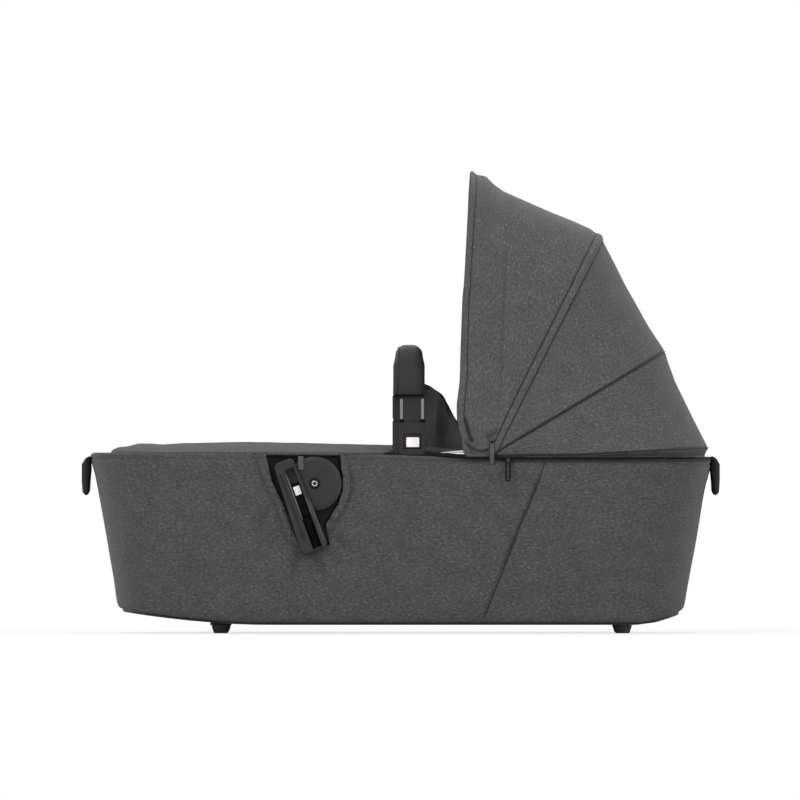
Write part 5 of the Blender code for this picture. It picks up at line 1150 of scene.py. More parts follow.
@dataclass
class Hood:
    """The folding hood: cloth panels, bow channels, hems, tabs and zip."""

    tub: Tub
    pivot_x: float = 0.1213
    pivot_z: float = 0.2374
    half_width: float = 0.1973
    front_height: float = 0.3790
    middle_reach: float = 0.3260
    middle_angle: float = math.radians(63.5)
    rear_reach: float = 0.2696
    rear_angle: float = math.radians(30.9)
    base_reach: float = 0.2890
    base_rise: float = -0.0033
    band_height: float = 0.0130
    tuck: float = 0.0016
    tuck_reach: float = 0.0030
    hem_width: float = 0.0088
    hem_dome: float = 0.0010
    hem_seam: float = 0.0094
    channel_half: float = 0.0058
    channel_dome: float = 0.0020
    channel_seam: float = 0.0064
    seam_sunk: float = 0.003
    strap_half: float = 0.0032
    strap_dome: float = 0.0005
    strap_profile: Line = ((0.2250, 0.2052), (0.2320, 0.2057), (0.2375, 0.2063), (0.2410, 0.2056), (0.2465, 0.2030),
                           (0.2520, 0.2008), (0.2580, 0.2000))
    stud_face: float = 0.2014
    stud_z: float = 0.2548
    shoulder: float = 0.1500
    cloth: float = 0.0011
    leg_steps: int = 96
    crown_steps: int = 44
    tape_start: Spot = (0.036, 0.128)
    tape_heights: Line = ((0.035, 0.2377), (0.09, 0.2334), (0.13, 0.2329))
    tape_out: Line = ((0.128, 0.0054), (0.210, 0.0058), (0.300, 0.0067), (0.360, 0.0070), (0.400, 0.0066))
    tooth_gap: float = 0.0021
    tooth_half: float = 0.0006
    tooth_radius: float = 0.0005
    front_shares: Line = (
        (-0.012, -0.0070), (-0.045, -0.0085), (-0.088, -0.0080), (-0.0965, -0.0030), (-0.1005, 0.0120),
        (-0.1030, 0.0320), (-0.106, 0.060), (-0.1155, 0.094), (-0.1215, 0.128), (-0.1225, 0.160), (-0.1195, 0.200),
        (-0.1115, 0.262), (-0.109, 0.369), (-0.102, 0.555), (-0.097, 0.604))
    front_cut: Cut = Cut(
        "hood_cloth_front", "hood_panel_front", ("hood_middle", "hood_front"), 60,
        ((0.0, 0.0), (0.09, -0.0028), (0.21, -0.0018), (0.36, 0.0006), (0.55, 0.0024), (0.75, 0.0046),
         (0.82, 0.0022), (0.887, -0.0033), (0.966, 0.0018), (1.0, 0.0)),
        11.0, ((0.0070, False, 0.42), (0.0094, True, 0.30)), (0.92, 0.215), 0.135)
    middle_cut: Cut = Cut(
        "hood_cloth_middle", "hood_panel_middle", ("hood_rear", "hood_middle"), 34,
        ((0.0, 0.0), (0.25, 0.0024), (0.6, 0.0034), (0.85, 0.0018), (1.0, 0.0)),
        23.0, ((0.0015, False, 0.35), (0.0070, True, 0.42)), (0.86, 0.17), 0.0957)
    rear_cut: Cut = Cut(
        "hood_cloth_rear", "hood_panel_rear", ("tub", "hood_rear"), 34,
        ((0.0, 0.0), (0.3, 0.0024), (0.7, 0.0040), (0.9, 0.0020), (1.0, 0.0)),
        37.0, ((0.0015, True, 0.35),), (0.80, 0.15), 0.0746)
    folds: tuple[tuple[Line, float, float], ...] = (
        (((-0.0359, 0.0466), (-0.0326, 0.0359), (-0.0293, 0.0253), (-0.0266, 0.0186)), 0.0038, 0.0025),
        (((-0.0372, 0.0173), (-0.0306, 0.0106), (-0.0226, 0.0060), (-0.0120, 0.0047), (-0.0053, 0.0067)),
         0.0024, 0.0020),
        (((-0.0040, 0.0250), (0.0040, 0.0290)), 0.0020, 0.0050))

    def line(self, leg: Line, apex: Spot) -> np.ndarray:
        """A line over the hood from its left foot to its right, from places relative to the pivot."""
        flat = soft_line(leg, self.leg_steps + 1, 3)
        reach = np.linalg.norm(flat, axis=1)
        bulge = self.half_width + 0.0024 * (1.0 - smooth_step(reach, 0.012, 0.034))
        half = np.stack([self.pivot_x + flat[:, 0], -bulge, self.pivot_z + flat[:, 1]], axis=1)
        angle = math.pi / 2.0 * np.arange(1, self.crown_steps + 1) / self.crown_steps
        power = 2.0 / 2.6
        rise = (np.sin(angle) ** power)[:, None]
        spot = flat[-1] + (np.array(apex) - flat[-1]) * rise
        width = self.half_width * np.maximum(np.cos(angle), 0.0) ** power
        crown = np.stack([self.pivot_x + spot[:, 0], -width, self.pivot_z + spot[:, 1]], axis=1)
        left = np.concatenate([half, crown])
        return np.concatenate([left, left[:-1][::-1] * np.array([1.0, -1.0, 1.0])])

    def radial(self, reach: float, angle: float) -> Spot:
        """A place at a distance and angle from the pivot."""
        return reach * math.cos(angle), reach * math.sin(angle)

    def front_line(self) -> np.ndarray:
        """The front edge, whose legs curl forward round the pivot."""
        tall = self.front_height
        return self.line(tuple((tall * x, tall * z) for x, z in self.front_shares), (tall * -0.0726, tall))

    def straight_line(self, reach: float, angle: float, start: float = 0.003) -> np.ndarray:
        """A line whose legs run straight out from the pivot."""
        return self.line((self.radial(start, angle), self.radial(reach - self.shoulder, angle)),
                         self.radial(reach, angle))

    def base_line(self, lift: float) -> np.ndarray:
        """The lower edge, which follows the rim round the head end."""
        line = self.straight_line(self.base_reach, 0.0, 0.012)
        run = np.clip((line[:, 0] - 0.2320) / (self.pivot_x + self.base_reach - 0.2320), 0.0, 1.0)
        line[:, 2] += self.base_rise + lift * (0.25 + 0.75 * run)
        return line

    def surface(self, first: np.ndarray, second: np.ndarray, shares: np.ndarray, cut: Cut) -> np.ndarray:
        """Cloth between two lines, drawn in between them and softly creased.

        Args:
            first: The line at share 0.
            second: The line at share 1.
            shares: The rows' shares.
            cut: How the cloth is drawn in, and its noise.

        Returns:
            The grid of points.
        """
        part = shares[:, None, None]
        grid = first[None] * (1.0 - part) + second[None] * part
        centre = np.array([self.pivot_x, 0.0, self.pivot_z])
        inward = (centre - grid) * np.array([1.0, 0.0, 1.0])
        reach = np.linalg.norm(inward, axis=2)
        drawn = np.interp(shares, *zip(*cut.sag))[:, None] * smooth_step(reach, 0.12, 0.26)
        grid = grid + inward / np.maximum(reach, 1e-6)[..., None] * drawn[..., None]
        normal = grid_normals(grid, False)
        between = (4.0 * shares * (1.0 - shares))[:, None]
        side = smooth_step(np.abs(grid[..., 1]), 0.14, 0.19)
        hollow = -0.0018 * between * side * smooth_step(reach, 0.03, 0.16)
        angle = np.arctan2(grid[..., 2] - self.pivot_z, grid[..., 0] - self.pivot_x)
        polar = np.stack([angle * 3.1, reach * 3.0, grid[..., 1] * 0.0 + np.sign(grid[..., 1])], axis=2)
        rays = ripple(polar, (2.4, 1.0, 1.0), cut.seed) * 0.0030 * np.exp(-reach / 0.085)
        rays *= smooth_step(reach, 0.01, 0.04)
        drift = ripple(grid, (11.0, 9.0, 11.0), cut.seed + 3.0) * 0.0012
        fine = ripple(grid, (36.0, 30.0, 36.0), cut.seed + 8.0) * 0.00035
        shift = hollow + (rays * side + drift * smooth_step(reach, 0.02, 0.1) + fine) * between ** 0.5
        return grid + normal * shift[..., None]

    def rows(self, count: int) -> np.ndarray:
        """Shares of a panel's rows, closer together at both seams."""
        edge = (0.0, 0.004, 0.010, 0.018, 0.024, 0.030, 0.036, 0.043, 0.050)
        return np.array([*edge, *np.linspace(0.060, 0.940, count), *(1.0 - place for place in reversed(edge))])

    def panel(self, cut: Cut, first: np.ndarray, second: np.ndarray) -> np.ndarray:
        """One panel of the hood.

        Args:
            cut: How it is cut.
            first: Its first line.
            second: Its second line.

        Returns:
            The points of the cloth before its edges are tucked in.
        """
        shares = self.rows(cut.rows)
        grid = self.surface(first, second, shares, cut)
        normal = grid_normals(grid, False)
        span = np.linalg.norm(second - first, axis=1)
        # Painted shade beside the sewn lines, and below in the front panel's corner folds.
        crease_and_shade = self.painted_shade(shares, span, cut)
        near = np.minimum(shares[:, None], 1.0 - shares[:, None]) * span
        tuck = self.tuck * (1.0 - smooth_step(near, 0.0, self.tuck_reach))
        if cut is self.front_cut:
            shift, folds = self.corner_folds(grid)
            grid, crease_and_shade = grid + normal * shift[..., None], np.maximum(crease_and_shade, folds)
        piece = lay_grid(cut.name, grid - normal * tuck[..., None], False, True, self.cloth,
                         marks={"span": np.repeat(shares[:, None], grid.shape[1], 1), "crease_and_shade": crease_and_shade})
        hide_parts(cut.node)
        settle(piece, Finish.HOOD, body=None, sharp=60.0)
        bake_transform(piece)
        weights = np.zeros(len(piece.data.vertices), dtype=np.float32)
        piece.data.attributes["span"].data.foreach_get("value", weights)
        return grid

    def painted_shade(self, shares: np.ndarray, span: np.ndarray, cut: Cut) -> np.ndarray:
        """Painted shade in the sewn lines beside a panel's edges, from 0 to 1.

        Args:
            shares: The rows' shares.
            span: Distance between the panel's two lines at each column.
            cut: The panel's sewn lines.

        Returns:
            How far painted shade darkens each point.
        """
        crease_and_shade = np.zeros((len(shares), len(span)))
        for distance, last, depth in cut.shaded_seams:
            away = (1.0 - shares if last else shares)[:, None] * span - distance
            crease_and_shade += depth * np.exp(-(away / 0.0016) ** 2)
        return crease_and_shade * smooth_step(span, 0.02, 0.05)

    def corner_folds(self, grid: np.ndarray) -> tuple[np.ndarray, np.ndarray]:
        """Deep soft folds where the front hem curls round the pivot, with painted shade in them.

        Args:
            grid: Points of the front panel.

        Returns:
            How far each point moves outward, and how far painted shade darkens it, from 0 to 1.
        """
        x, z = grid[..., 0] - self.pivot_x, grid[..., 2] - self.pivot_z
        side = smooth_step(np.abs(grid[..., 1]), 0.17, 0.19)
        shift, crease_and_shade = np.zeros(x.shape), np.zeros(x.shape)
        for line, depth, width in self.folds:
            away = nearest(x, z, line)
            shift += depth * (0.45 * np.exp(-((away - width * 1.9) / (width * 1.2)) ** 2)
                              - np.exp(-(away / width) ** 2))
            # Painted shade in each fold.
            crease_and_shade += depth * 260.0 * np.exp(-(away / (width * 0.72)) ** 2)
        # Darker along a faint seam line up the front panel.
        crease_and_shade += 0.26 * np.exp(-(nearest(x, z, ((0.0106, 0.0730), (0.0213, 0.3500))) / 0.0022) ** 2)
        return shift * side, np.clip(crease_and_shade, 0.0, 0.85) * side

    def follow(self, grid: np.ndarray, distance: float, last: bool = False) -> np.ndarray:
        """A line on a panel's cloth.

        Args:
            grid: The panel's points.
            distance: How far the line runs from the panel's first row.
            last: True to measure from its last row.

        Returns:
            A point for each column.
        """
        rows = grid[::-1] if last else grid
        steps = np.linalg.norm(np.diff(rows, axis=0), axis=2)
        lengths = np.concatenate([np.zeros((1, rows.shape[1])), np.cumsum(steps, axis=0)])
        return np.array([[np.interp(distance, lengths[:, column], rows[:, column, axis]) for axis in range(3)]
                         for column in range(rows.shape[1])])

    def strip(self, name: str, rows: list[np.ndarray], dome: float, body: str) -> None:
        """A raised channel of cloth on a panel.

        Args:
            name: The piece's name.
            rows: Its lines from the rear to the front, closest at both edges.
            dome: How far its middle stands proud.
            body: The body it rides on.
        """
        grid = np.stack(rows)
        normal = grid_normals(grid, False)
        share = 0.5 - 0.5 * np.cos(np.linspace(0.0, math.pi, len(rows)))
        rise = dome * np.clip(4.0 * share * (1.0 - share), 0.0, 1.0) ** 0.45 + 0.0002
        pucker = ripple(grid, (120.0, 120.0, 120.0), 1.7) * 0.00018
        piece = lay_grid(name, grid + normal * (rise[:, None] + pucker)[..., None], False, True, 0.0009)
        settle(piece, Finish.HOOD, body=body, sharp=60.0)

    def thread(self, name: str, path: np.ndarray, radius: float, body: str) -> None:
        """A dark sewn line."""
        settle(tube(name, path, radius, sides=8), Finish.THREAD, body=body)

    def build(self) -> None:
        """Make the hood's cloth and dress its bows, hubs and pins."""
        front = self.front_line()
        middle = self.straight_line(self.middle_reach, self.middle_angle)
        rear = self.straight_line(self.rear_reach, self.rear_angle)
        base = self.base_line(self.band_height)
        front_cloth = self.panel(self.front_cut, middle, front)
        middle_cloth = self.panel(self.middle_cut, rear, middle)
        self.panel(self.rear_cut, base, rear)
        self.hems(front_cloth, middle_cloth, rear)
        self.band()
        self.zip()
        for side in Side:
            self.tab(side)
        dress_solids(Finish.BOW, "front_bow", "middle_bow", "rear_bow", "hood_hub_left", "hood_hub_right")
        dress_solids(Finish.STEEL, "hood_pin_left", "hood_pin_right")
        dress_solids(Finish.ZIP, "zip_slider")
        dress_solids(Finish.BINDING_TRIM, "zip_pull")

    def hems(self, front: np.ndarray, middle: np.ndarray, rear: np.ndarray) -> None:
        """The front hem, the middle bow's channel and the seam lines.

        Args:
            front: Points of the front panel's cloth.
            middle: Points of the middle panel's cloth.
            rear: The rear seam's line.
        """
        across = np.cos(np.linspace(0.0, math.pi, 15))
        hem = [self.follow(front, self.hem_width * (0.5 + 0.5 * place), last=True) for place in across]
        self.strip("front_hem", hem, self.hem_dome, "hood_front")
        channel = [self.follow(middle, place, last=True) if place > 0.0 else self.follow(front, -place)
                   for place in self.channel_half * across]
        self.strip("bow_channel", channel, self.channel_dome, "hood_middle")
        for name, line in (("front", self.follow(front, self.channel_seam)),
                           ("rear", self.follow(middle, self.channel_seam, last=True))):
            self.thread(f"bow_channel_seam_{name}", line, 0.0007, "hood_middle")
        self.thread("front_hem_seam", self.follow(front, self.hem_seam, last=True), 0.0004, "hood_front")
        pivot = np.array([self.pivot_x, 0.0, self.pivot_z])
        self.thread("rear_seam", rear - (rear - pivot) * self.seam_sunk, 0.0010, "hood_rear")

    def band(self) -> None:
        """The band at the rim, with its seam."""
        low, high = self.base_line(0.0), self.base_line(self.band_height - 0.0004)
        shares = np.array([0.0, 0.06, 0.2, 0.5, 0.8, 0.94, 1.0])
        grid = np.stack([low + (high - low) * share for share in shares])
        normal = grid_normals(grid, False)
        swell_out = 0.0062 - 0.0054 * shares + 0.0013 * np.sqrt(np.clip(4.0 * shares * (1.0 - shares), 0.0, 1.0))
        grid = grid - normal * swell_out[:, None, None]
        band = lay_grid("rim_band", grid, False, False, 0.0016)
        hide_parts("hood_base_band")
        settle(band, Finish.HOOD, sharp=60.0)
        self.thread("band_seam", high + np.array([0.0, 0.0, 0.0004]), 0.0007, "tub")

    def zip(self) -> None:
        """The zip's tape and coil, which show as a dark line between the rim and the hood."""
        line = self.straight_line(self.base_reach - 0.0006, 0.0, 0.012)
        start = np.stack([np.linspace(*self.tape_start, 40), np.full(40, -self.half_width), np.zeros(40)], axis=1)
        path = np.concatenate([start, line, (start * np.array([1.0, -1.0, 1.0]))[::-1]])
        path[:, 2] = np.interp(path[:, 0], *zip(*self.tape_heights))
        run = directions(path)
        out = np.interp(path[:, 0], *zip(*self.tape_out))
        path[:, :2] += np.stack([run[:, 1], -run[:, 0]], axis=1) * out[:, None]
        rows = [path + np.array([0.0, 0.0, height]) for height in (-0.0017, -0.0012, 0.0, 0.0012, 0.0019)]
        piece = lay_grid("zip_tape", np.stack(rows), False, True, 0.0006)
        settle(piece, Finish.BINDING, sharp=60.0)
        self.coil(path)

    def coil(self, path: np.ndarray) -> None:
        """The zip's coil along its tape, tooth by tooth."""
        corners = 6
        points = spaced(path, self.tooth_gap, path)
        vertices, faces = [], []
        for spot, run in zip(points, directions(points)):
            away = np.array([run[1], -run[0], 0.0])
            faces += ring_faces(2, corners, first=len(vertices))
            for reach in (-self.tooth_half, self.tooth_half):
                for corner in range(corners):
                    angle = 2.0 * math.pi * corner / corners
                    vertices.append(spot + run * reach + away * self.tooth_radius * (1.0 + math.cos(angle))
                                    + np.array([0.0, 0.0, self.tooth_radius * 1.6 * math.sin(angle)]))
        settle(add_mesh("zip_coil", vertices, faces), Finish.LATCH)

    def tab(self, side: Side) -> None:
        """A cloth tab over the pivot with its press stud."""
        name = side.name.lower()
        heights, depths = zip(*self.strap_profile)
        z = np.linspace(heights[0], heights[-1], 40)
        y = softened(np.interp(z, heights, depths), 3)
        across = np.linspace(-1.0, 1.0, 9)
        taper = np.minimum(1.0, np.minimum(z - z[0], z[-1] - z) / 0.002 + 0.55)
        x = self.pivot_x + self.strap_half * across * taper[:, None]
        out = y[:, None] + self.strap_dome * np.cos(across * 1.4)
        grid = np.stack([x, side.value * out, np.broadcast_to(z[:, None], x.shape)], axis=2)
        piece = lay_grid(f"hood_strap_{name}", grid, False, side is Side.LEFT, 0.0013)
        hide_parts(f"hood_tab_{name}")
        settle(piece, Finish.HOOD, sharp=60.0)
        for label, column in (("foot", 0), ("head", 8)):
            settle(tube(f"strap_edge_{label}_{name}", grid[:, column], 0.0006, sides=8), Finish.THREAD)
        bpy.ops.object.select_all(action="DESELECT")
        bpy.ops.mesh.primitive_cylinder_add(vertices=28, radius=0.0018, depth=0.0014,
                                            location=(self.pivot_x, side.value * self.stud_face, self.stud_z),
                                            rotation=(math.radians(90.0) * -side.value, 0.0, 0.0))
        stud = bpy.context.object
        stud.name = f"strap_stud_{name}"
        bpy.ops.object.mode_set(mode="EDIT")
        bpy.ops.mesh.select_all(action="SELECT")
        bpy.ops.mesh.bevel(offset=0.0005, segments=3, affect="EDGES")
        bpy.ops.object.mode_set(mode="OBJECT")
        settle(stud, Finish.LATCH, sharp=50.0)


@dataclass(frozen=True)
class Plate:
    """A small plate with round corners and a raised field, as it is on both sides of the carrycot."""

    size: Row
    radius: float
    finish: Finish
    slot: str
    tilt: float = 0.0

    def fix(self, name: str, centre: Row, side: Side, body: str = "tub") -> None:
        """Make one.

        Args:
            name: The piece's name.
            centre: Its middle, with the distance from the middle plane as its Y.
            side: The side it faces.
            body: The body it rides on.
        """
        made = self.shape(name, (centre[0], side.value * centre[1], centre[2]), side)
        settle(made, self.finish, body=body, sharp=30.0)

    def shape(self, name: str, centre: Row, side: Side) -> bpy.types.Object:
        """The bare plate at its place, with its raised field on the side it faces."""
        bpy.ops.object.select_all(action="DESELECT")
        bpy.ops.mesh.primitive_cube_add(size=1.0, location=centre)
        made = bpy.context.object
        made.name = name
        made.scale = self.size
        bpy.ops.object.transform_apply(location=False, rotation=False, scale=True)
        pick(made, lambda points: len(points) == 2 and abs(points[0].y - points[1].y) > self.size[1] * 0.9)
        bpy.ops.object.mode_set(mode="EDIT")
        bpy.ops.mesh.bevel(offset=self.radius, segments=4, affect="EDGES")
        bpy.ops.object.mode_set(mode="OBJECT")
        pick(made, lambda points: len(points) > 4 and points[0].y * side.value > 0.0)
        bpy.ops.object.mode_set(mode="EDIT")
        bpy.ops.mesh.inset(thickness=self.radius * 0.5, depth=self.size[1] * 0.3)
        bpy.ops.object.mode_set(mode="OBJECT")
        made.rotation_euler = (0.0, self.tilt, 0.0)
        return made


def pick(piece: bpy.types.Object, wanted: Callable[[list[Vector]], bool]) -> None:
    """Select the edges or faces of a piece whose corners pass a test, for the next edit."""
    mesh = piece.data
    select_only(piece)
    for group in (mesh.vertices, mesh.edges, mesh.polygons):
        group.foreach_set("select", [False] * len(group))
    for group in (mesh.edges, mesh.polygons):
        for element in group:
            if wanted([mesh.vertices[index].co for index in element.vertices]):
                element.select = True
                for index in element.vertices:
                    mesh.vertices[index].select = True
    bpy.context.tool_settings.mesh_select_mode = (False, True, False)


@dataclass
class Handle:
    """The carry handle: leather grip with its seam, bright rails, release buttons and dark clips."""

    centre_x: float = 0.0110
    side_y: float = 0.1875
    foot_z: float = 0.3162
    bend_z: float = 0.3180
    corner: float = 0.0550
    half_wide: float = 0.0220
    half_thick: float = 0.0110
    edge_wide: float = 0.0160
    edge_thick: float = 0.0150
    inner_edge: float = 0.0060
    slack: float = 0.0007
    seam: float = -0.0152
    stitch_gap: float = 0.0030
    slimming: float = 0.095
    slim_range: Spot = (0.354, 0.370)
    grip_ends: Line = ((0.0, 0.62), (0.0, 0.955), (0.0008, 1.0))
    rails: tuple[float, float] = (0.0009, 0.0289)
    rail_face: float = 0.1995
    rail_low: float = 0.2852
    rail_high: float = 0.3122
    clip_z: float = 0.2827
    ferrule_z: float = 0.3161
    button_x: float = 0.01595
    button_z: float = 0.2545
    button_face: float = 0.1990
    rail: Plate = Plate((0.0036, 0.0005, rail_high - rail_low), 0.0005, Finish.ALUMINIUM, "bar_aluminium")
    clip: Plate = Plate((0.0066, 0.0018, 0.0030), 0.0006, Finish.LATCH, "handle_plastic")
    ferrule: Plate = Plate((0.0436, 0.0212, 0.0022), 0.0009, Finish.LATCH, "handle_plastic")
    marker: Plate = Plate((0.0170, 0.0006, 0.0128), 0.0012, Finish.MARKER, "button_plastic")

    def path(self, spacing: float) -> tuple[np.ndarray, np.ndarray]:
        """Centre line of the grip from left to right, with its outward directions."""
        turn = np.linspace(0.0, math.pi / 2.0, 26)
        left = np.stack([-(self.side_y - self.corner) - self.corner * np.cos(turn),
                         self.bend_z + self.corner * np.sin(turn)], axis=1)
        half = np.concatenate([[[-self.side_y, self.foot_z]], left])
        out = np.concatenate([[[-1.0, 0.0]], np.stack([-np.cos(turn), np.sin(turn)], axis=1)])
        flat = np.concatenate([half, half[::-1] * np.array([-1.0, 1.0])])
        away = np.concatenate([out, out[::-1] * np.array([-1.0, 1.0])])
        lengths = lengths_along(flat)
        wanted = np.linspace(0.0, lengths[-1], round(lengths[-1] / spacing))
        spots = np.insert(resampled(lengths, flat, wanted), 0, self.centre_x, axis=1)
        outs = np.insert(resampled(lengths, away, wanted), 0, 0.0, axis=1)
        return spots, outs / np.linalg.norm(outs, axis=1, keepdims=True)

    def skin(self, across: float, shrink: float = 0.0) -> float:
        """Distance from the centre line to the skin, at a distance across the grip."""
        flat = self.half_wide - self.edge_wide
        share = min(max(abs(across) - flat, 0.0) / (self.edge_wide - shrink), 1.0)
        return self.half_thick - shrink - self.edge_thick * (1.0 - math.sqrt(1.0 - share * share))

    def slimmed(self, points: np.ndarray) -> np.ndarray:
        """Points of the grip, drawn in toward its middle plane near its top."""
        share = 1.0 - self.slimming * smooth_step(points[:, 2], *self.slim_range)
        points[:, 0] = self.centre_x + share * (points[:, 0] - self.centre_x)
        return points

    def grip(self) -> None:
        """The grip, blown up a little as soft leather, with its sewn overlap and stitches."""
        spots, outs = self.path(0.0034)
        section = []
        for angle in np.linspace(0.0, math.pi / 2.0, 7):
            section.append((self.half_wide - self.edge_wide + (self.edge_wide - self.slack) * math.cos(angle),
                            self.half_thick - self.edge_thick + (self.edge_thick - self.slack) * math.sin(angle)))
        section.append((0.0, self.half_thick - self.slack))
        section = [(self.half_wide - self.inner_edge + (self.inner_edge - self.slack) * math.cos(angle),
                    self.inner_edge - self.half_thick - (self.inner_edge - self.slack) * math.sin(angle))
                   for angle in np.linspace(math.pi / 2.0, 0.0, 5)] + section
        quarter = np.array(section)
        ring = np.concatenate([quarter, quarter[:-1][::-1] * np.array([-1.0, 1.0])])
        first, last = ([(spots[end] + np.array([0.0, 0.0, rise]), outs[end], size) for rise, size in self.grip_ends]
                       for end in (0, -1))
        stations = [*first, *((spot, out, 1.0) for spot, out in zip(spots[1:-1], outs[1:-1])), *reversed(last)]
        points = []
        for spot, out, size in stations:
            points += [spot + np.array([across * size, 0.0, 0.0]) + out * depth * size for across, depth in ring]
        piece = add_mesh("leather_grip", points, ring_faces(len(stations), len(ring)))
        face_outward(piece, weld=0.00005)
        swell(piece, voxel=None, pressure=1.5, cap=0.0010, floor=self.foot_z)
        write_points(piece, self.slimmed(read_points(piece)))
        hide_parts("handle_grip")
        settle(piece, Finish.LEATHER, body="handle", sharp=60.0)
        spots, outs = self.path(0.0020)
        inner = slice(2, len(spots) - 2)
        for label, across, face in (("outer", self.seam, 1.0), ("inner", -self.seam, -1.0)):
            lift = outs * face
            rest = self.skin(across) if face > 0.0 else self.half_thick
            line = self.slimmed(spots + np.array([across, 0.0, 0.0]) + lift * (rest + 0.0001))
            settle(tube(f"grip_seam_{label}", line[inner], 0.00075, sides=8), Finish.THREAD,
                   body="handle")
            beside = across - math.copysign(self.stitch_gap, across)
            row = self.slimmed(spots + np.array([beside, 0.0, 0.0]) + lift * (rest + 0.0003))
            settle(stitches(f"grip_stitches_{label}", row[inner], lift[inner], 0.0040), Finish.THREAD,
                   body="handle")

    def hardware(self, side: Side) -> None:
        """Bright rail faces, clips and the plain plate on one end of the handle."""
        name = side.name.lower()
        for number, x in enumerate(self.rails, 1):
            middle = (self.rail_low + self.rail_high) / 2.0
            self.rail.fix(f"rail_{name}_{number}", (x, self.rail_face + 0.0001, middle), side, "handle")
            self.clip.fix(f"rail_clip_{name}_{number}", (x + 0.0003, self.rail_face - 0.0001, self.clip_z), side,
                          "handle")
        self.ferrule.fix(f"grip_ferrule_{name}", (self.centre_x, self.side_y, self.ferrule_z), side, "handle")
        self.marker.fix(f"button_plate_{name}", (self.button_x, self.button_face + 0.0001, self.button_z), side,
                        f"button_{name}")

    def build(self) -> None:
        """Make the handle's trim and give its solids their finish."""
        self.grip()
        for side in Side:
            self.hardware(side)
            name = side.name.lower()
            dress_solids(Finish.HANDLE, f"handle_block_{name}", f"handle_leg_{name}")
            dress_solids(Finish.BUTTON, f"handle_button_{name}")
            dress_solids(Finish.STEEL, f"handle_pin_{name}")
        dress_solids(Finish.ALUMINIUM, "handle_bar")


@dataclass
class Brackets:
    """The chassis brackets in the two recesses."""

    tilt: float = math.radians(20.0)
    plate_x: float = -0.1374
    plate_z: float = 0.1902
    latch_face: float = 0.2058
    disc_face: float = 0.2030
    disc_x: float = -0.1146
    disc_z: float = 0.1995
    bolt_face: float = 0.2022
    arm_face: float = 0.2112
    channel_face: float = 0.1996
    top_x: float = -0.1567
    top_z: float = 0.2294
    lug_x: float = -0.1330
    lug_z: float = 0.2267
    socket_radius: float = 0.0031
    highlight_lips: dict[str, tuple[Spot, Spot]] = field(default_factory=lambda: {
        "foot": ((0.0180, -0.0020), (0.0830, -0.0020)), "head": ((0.0500, 0.0120), (0.0840, 0.0114))})
    highlight_lip_radii: Line = ((0.0, 0.0002), (0.2, 0.0005), (0.8, 0.0005), (1.0, 0.00015))
    limb: tuple[Spot, Spot] = ((0.0600, 0.0142), (0.1220, 0.0154))
    limb_radii: Line = ((0.0, 0.0006), (0.1, 0.0025), (0.9, 0.0018), (1.0, 0.0005))
    shade_plate_spot: Spot = (0.1010, 0.0040)
    marker: Plate = Plate((0.0086, 0.0006, 0.0120), 0.0007, Finish.MARKER, "latch_plastic", -tilt)
    lug: Plate = Plate((0.0072, 0.0014, 0.0184), 0.0012, Finish.LUG, "bracket_plastic")
    # Painted shade: a black plate on the channel's floor.
    floor: Plate = Plate((0.0124, 0.0006, 0.0450), 0.0008, Finish.LATCH, "bracket_plastic", -tilt)

    def build(self) -> None:
        """Give the brackets their finish, a plain plate on each latch and the small lug."""
        for side in Side:
            name = side.name.lower()
            dress_solids(Finish.HOUSING, f"adapter_housing_{name}")
            dress_solids(Finish.BRACKET, f"adapter_arm_{name}")
            dress_solids(Finish.BRACKET_DISC, f"adapter_disc_{name}")
            dress_solids(Finish.BOLT, f"adapter_bolt_{name}")
            dress_solids(Finish.LATCH, f"latch_{name}")
            self.marker.fix(f"latch_plate_{name}", (self.plate_x, self.latch_face + 0.0001, self.plate_z), side,
                            f"latch_{name}")
            self.lug.fix(f"bracket_lug_{name}", (self.lug_x, self.disc_face + 0.0006, self.lug_z), side)
            self.channel(side)
            self.socket(side)

    def spot(self, along: float, across: float, face: float) -> Row:
        """A place on the arm, from its top: down its middle line, and across it toward the head end."""
        lean, rise = math.sin(self.tilt), math.cos(self.tilt)
        return self.top_x + lean * along + rise * across, face, self.top_z - rise * along + lean * across

    def run(self, first: Spot, last: Spot, steps: int, side: Side) -> np.ndarray:
        """A straight line on the arm's face, between two places given along and across it."""
        spots = np.array(first) + (np.array(last) - np.array(first)) * np.linspace(0.0, 1.0, steps)[:, None]
        return np.array([self.spot(*spot, side.value * self.arm_face) for spot in spots])

    def channel(self, side: Side) -> None:
        """Lips with painted highlight on the channel's edges, a floor plate with painted shade, and a lighter
        rounded limb.
        """
        name = side.name.lower()
        # Painted highlight: light grey lips along the channel's chamfered edges.
        for label, (first, last) in self.highlight_lips.items():
            path = self.run(first, last, 24, side)
            thin = np.interp(np.linspace(0.0, 1.0, len(path)), *zip(*self.highlight_lip_radii))
            settle(tube(f"channel_lip_{label}_{name}", path, thin, sides=8), Finish.LIP_HIGHLIGHT)
        # The rounded limb, lighter than the arm's black as painted light on its curve.
        path = self.run(*self.limb, 30, side)
        wide = np.interp(np.linspace(0.0, 1.0, len(path)), *zip(*self.limb_radii))
        limb = tube(f"arm_limb_{name}", path, wide, sides=16, flat=0.4,
                    out=np.tile([0.0, side.value, 0.0], (len(path), 1)))
        settle(limb, Finish.LIMB)
        # Painted shade: the black plate darkens the lower end of the channel's floor.
        self.floor.fix(f"channel_floor_shade_{name}", self.spot(*self.shade_plate_spot, self.channel_face), side)

    def socket(self, side: Side) -> None:
        """Painted highlight: a bright steel ring round the socket of the dark bolt."""
        turn = np.linspace(0.0, 2.0 * math.pi, 73)[:-1]
        path = np.stack([self.disc_x + self.socket_radius * np.cos(turn), np.full(72, side.value * self.bolt_face),
                         self.disc_z + self.socket_radius * np.sin(turn)], axis=1)
        settle(tube(f"socket_edge_{side.name.lower()}", path, 0.0005, closed=True, sides=8), Finish.STEEL)


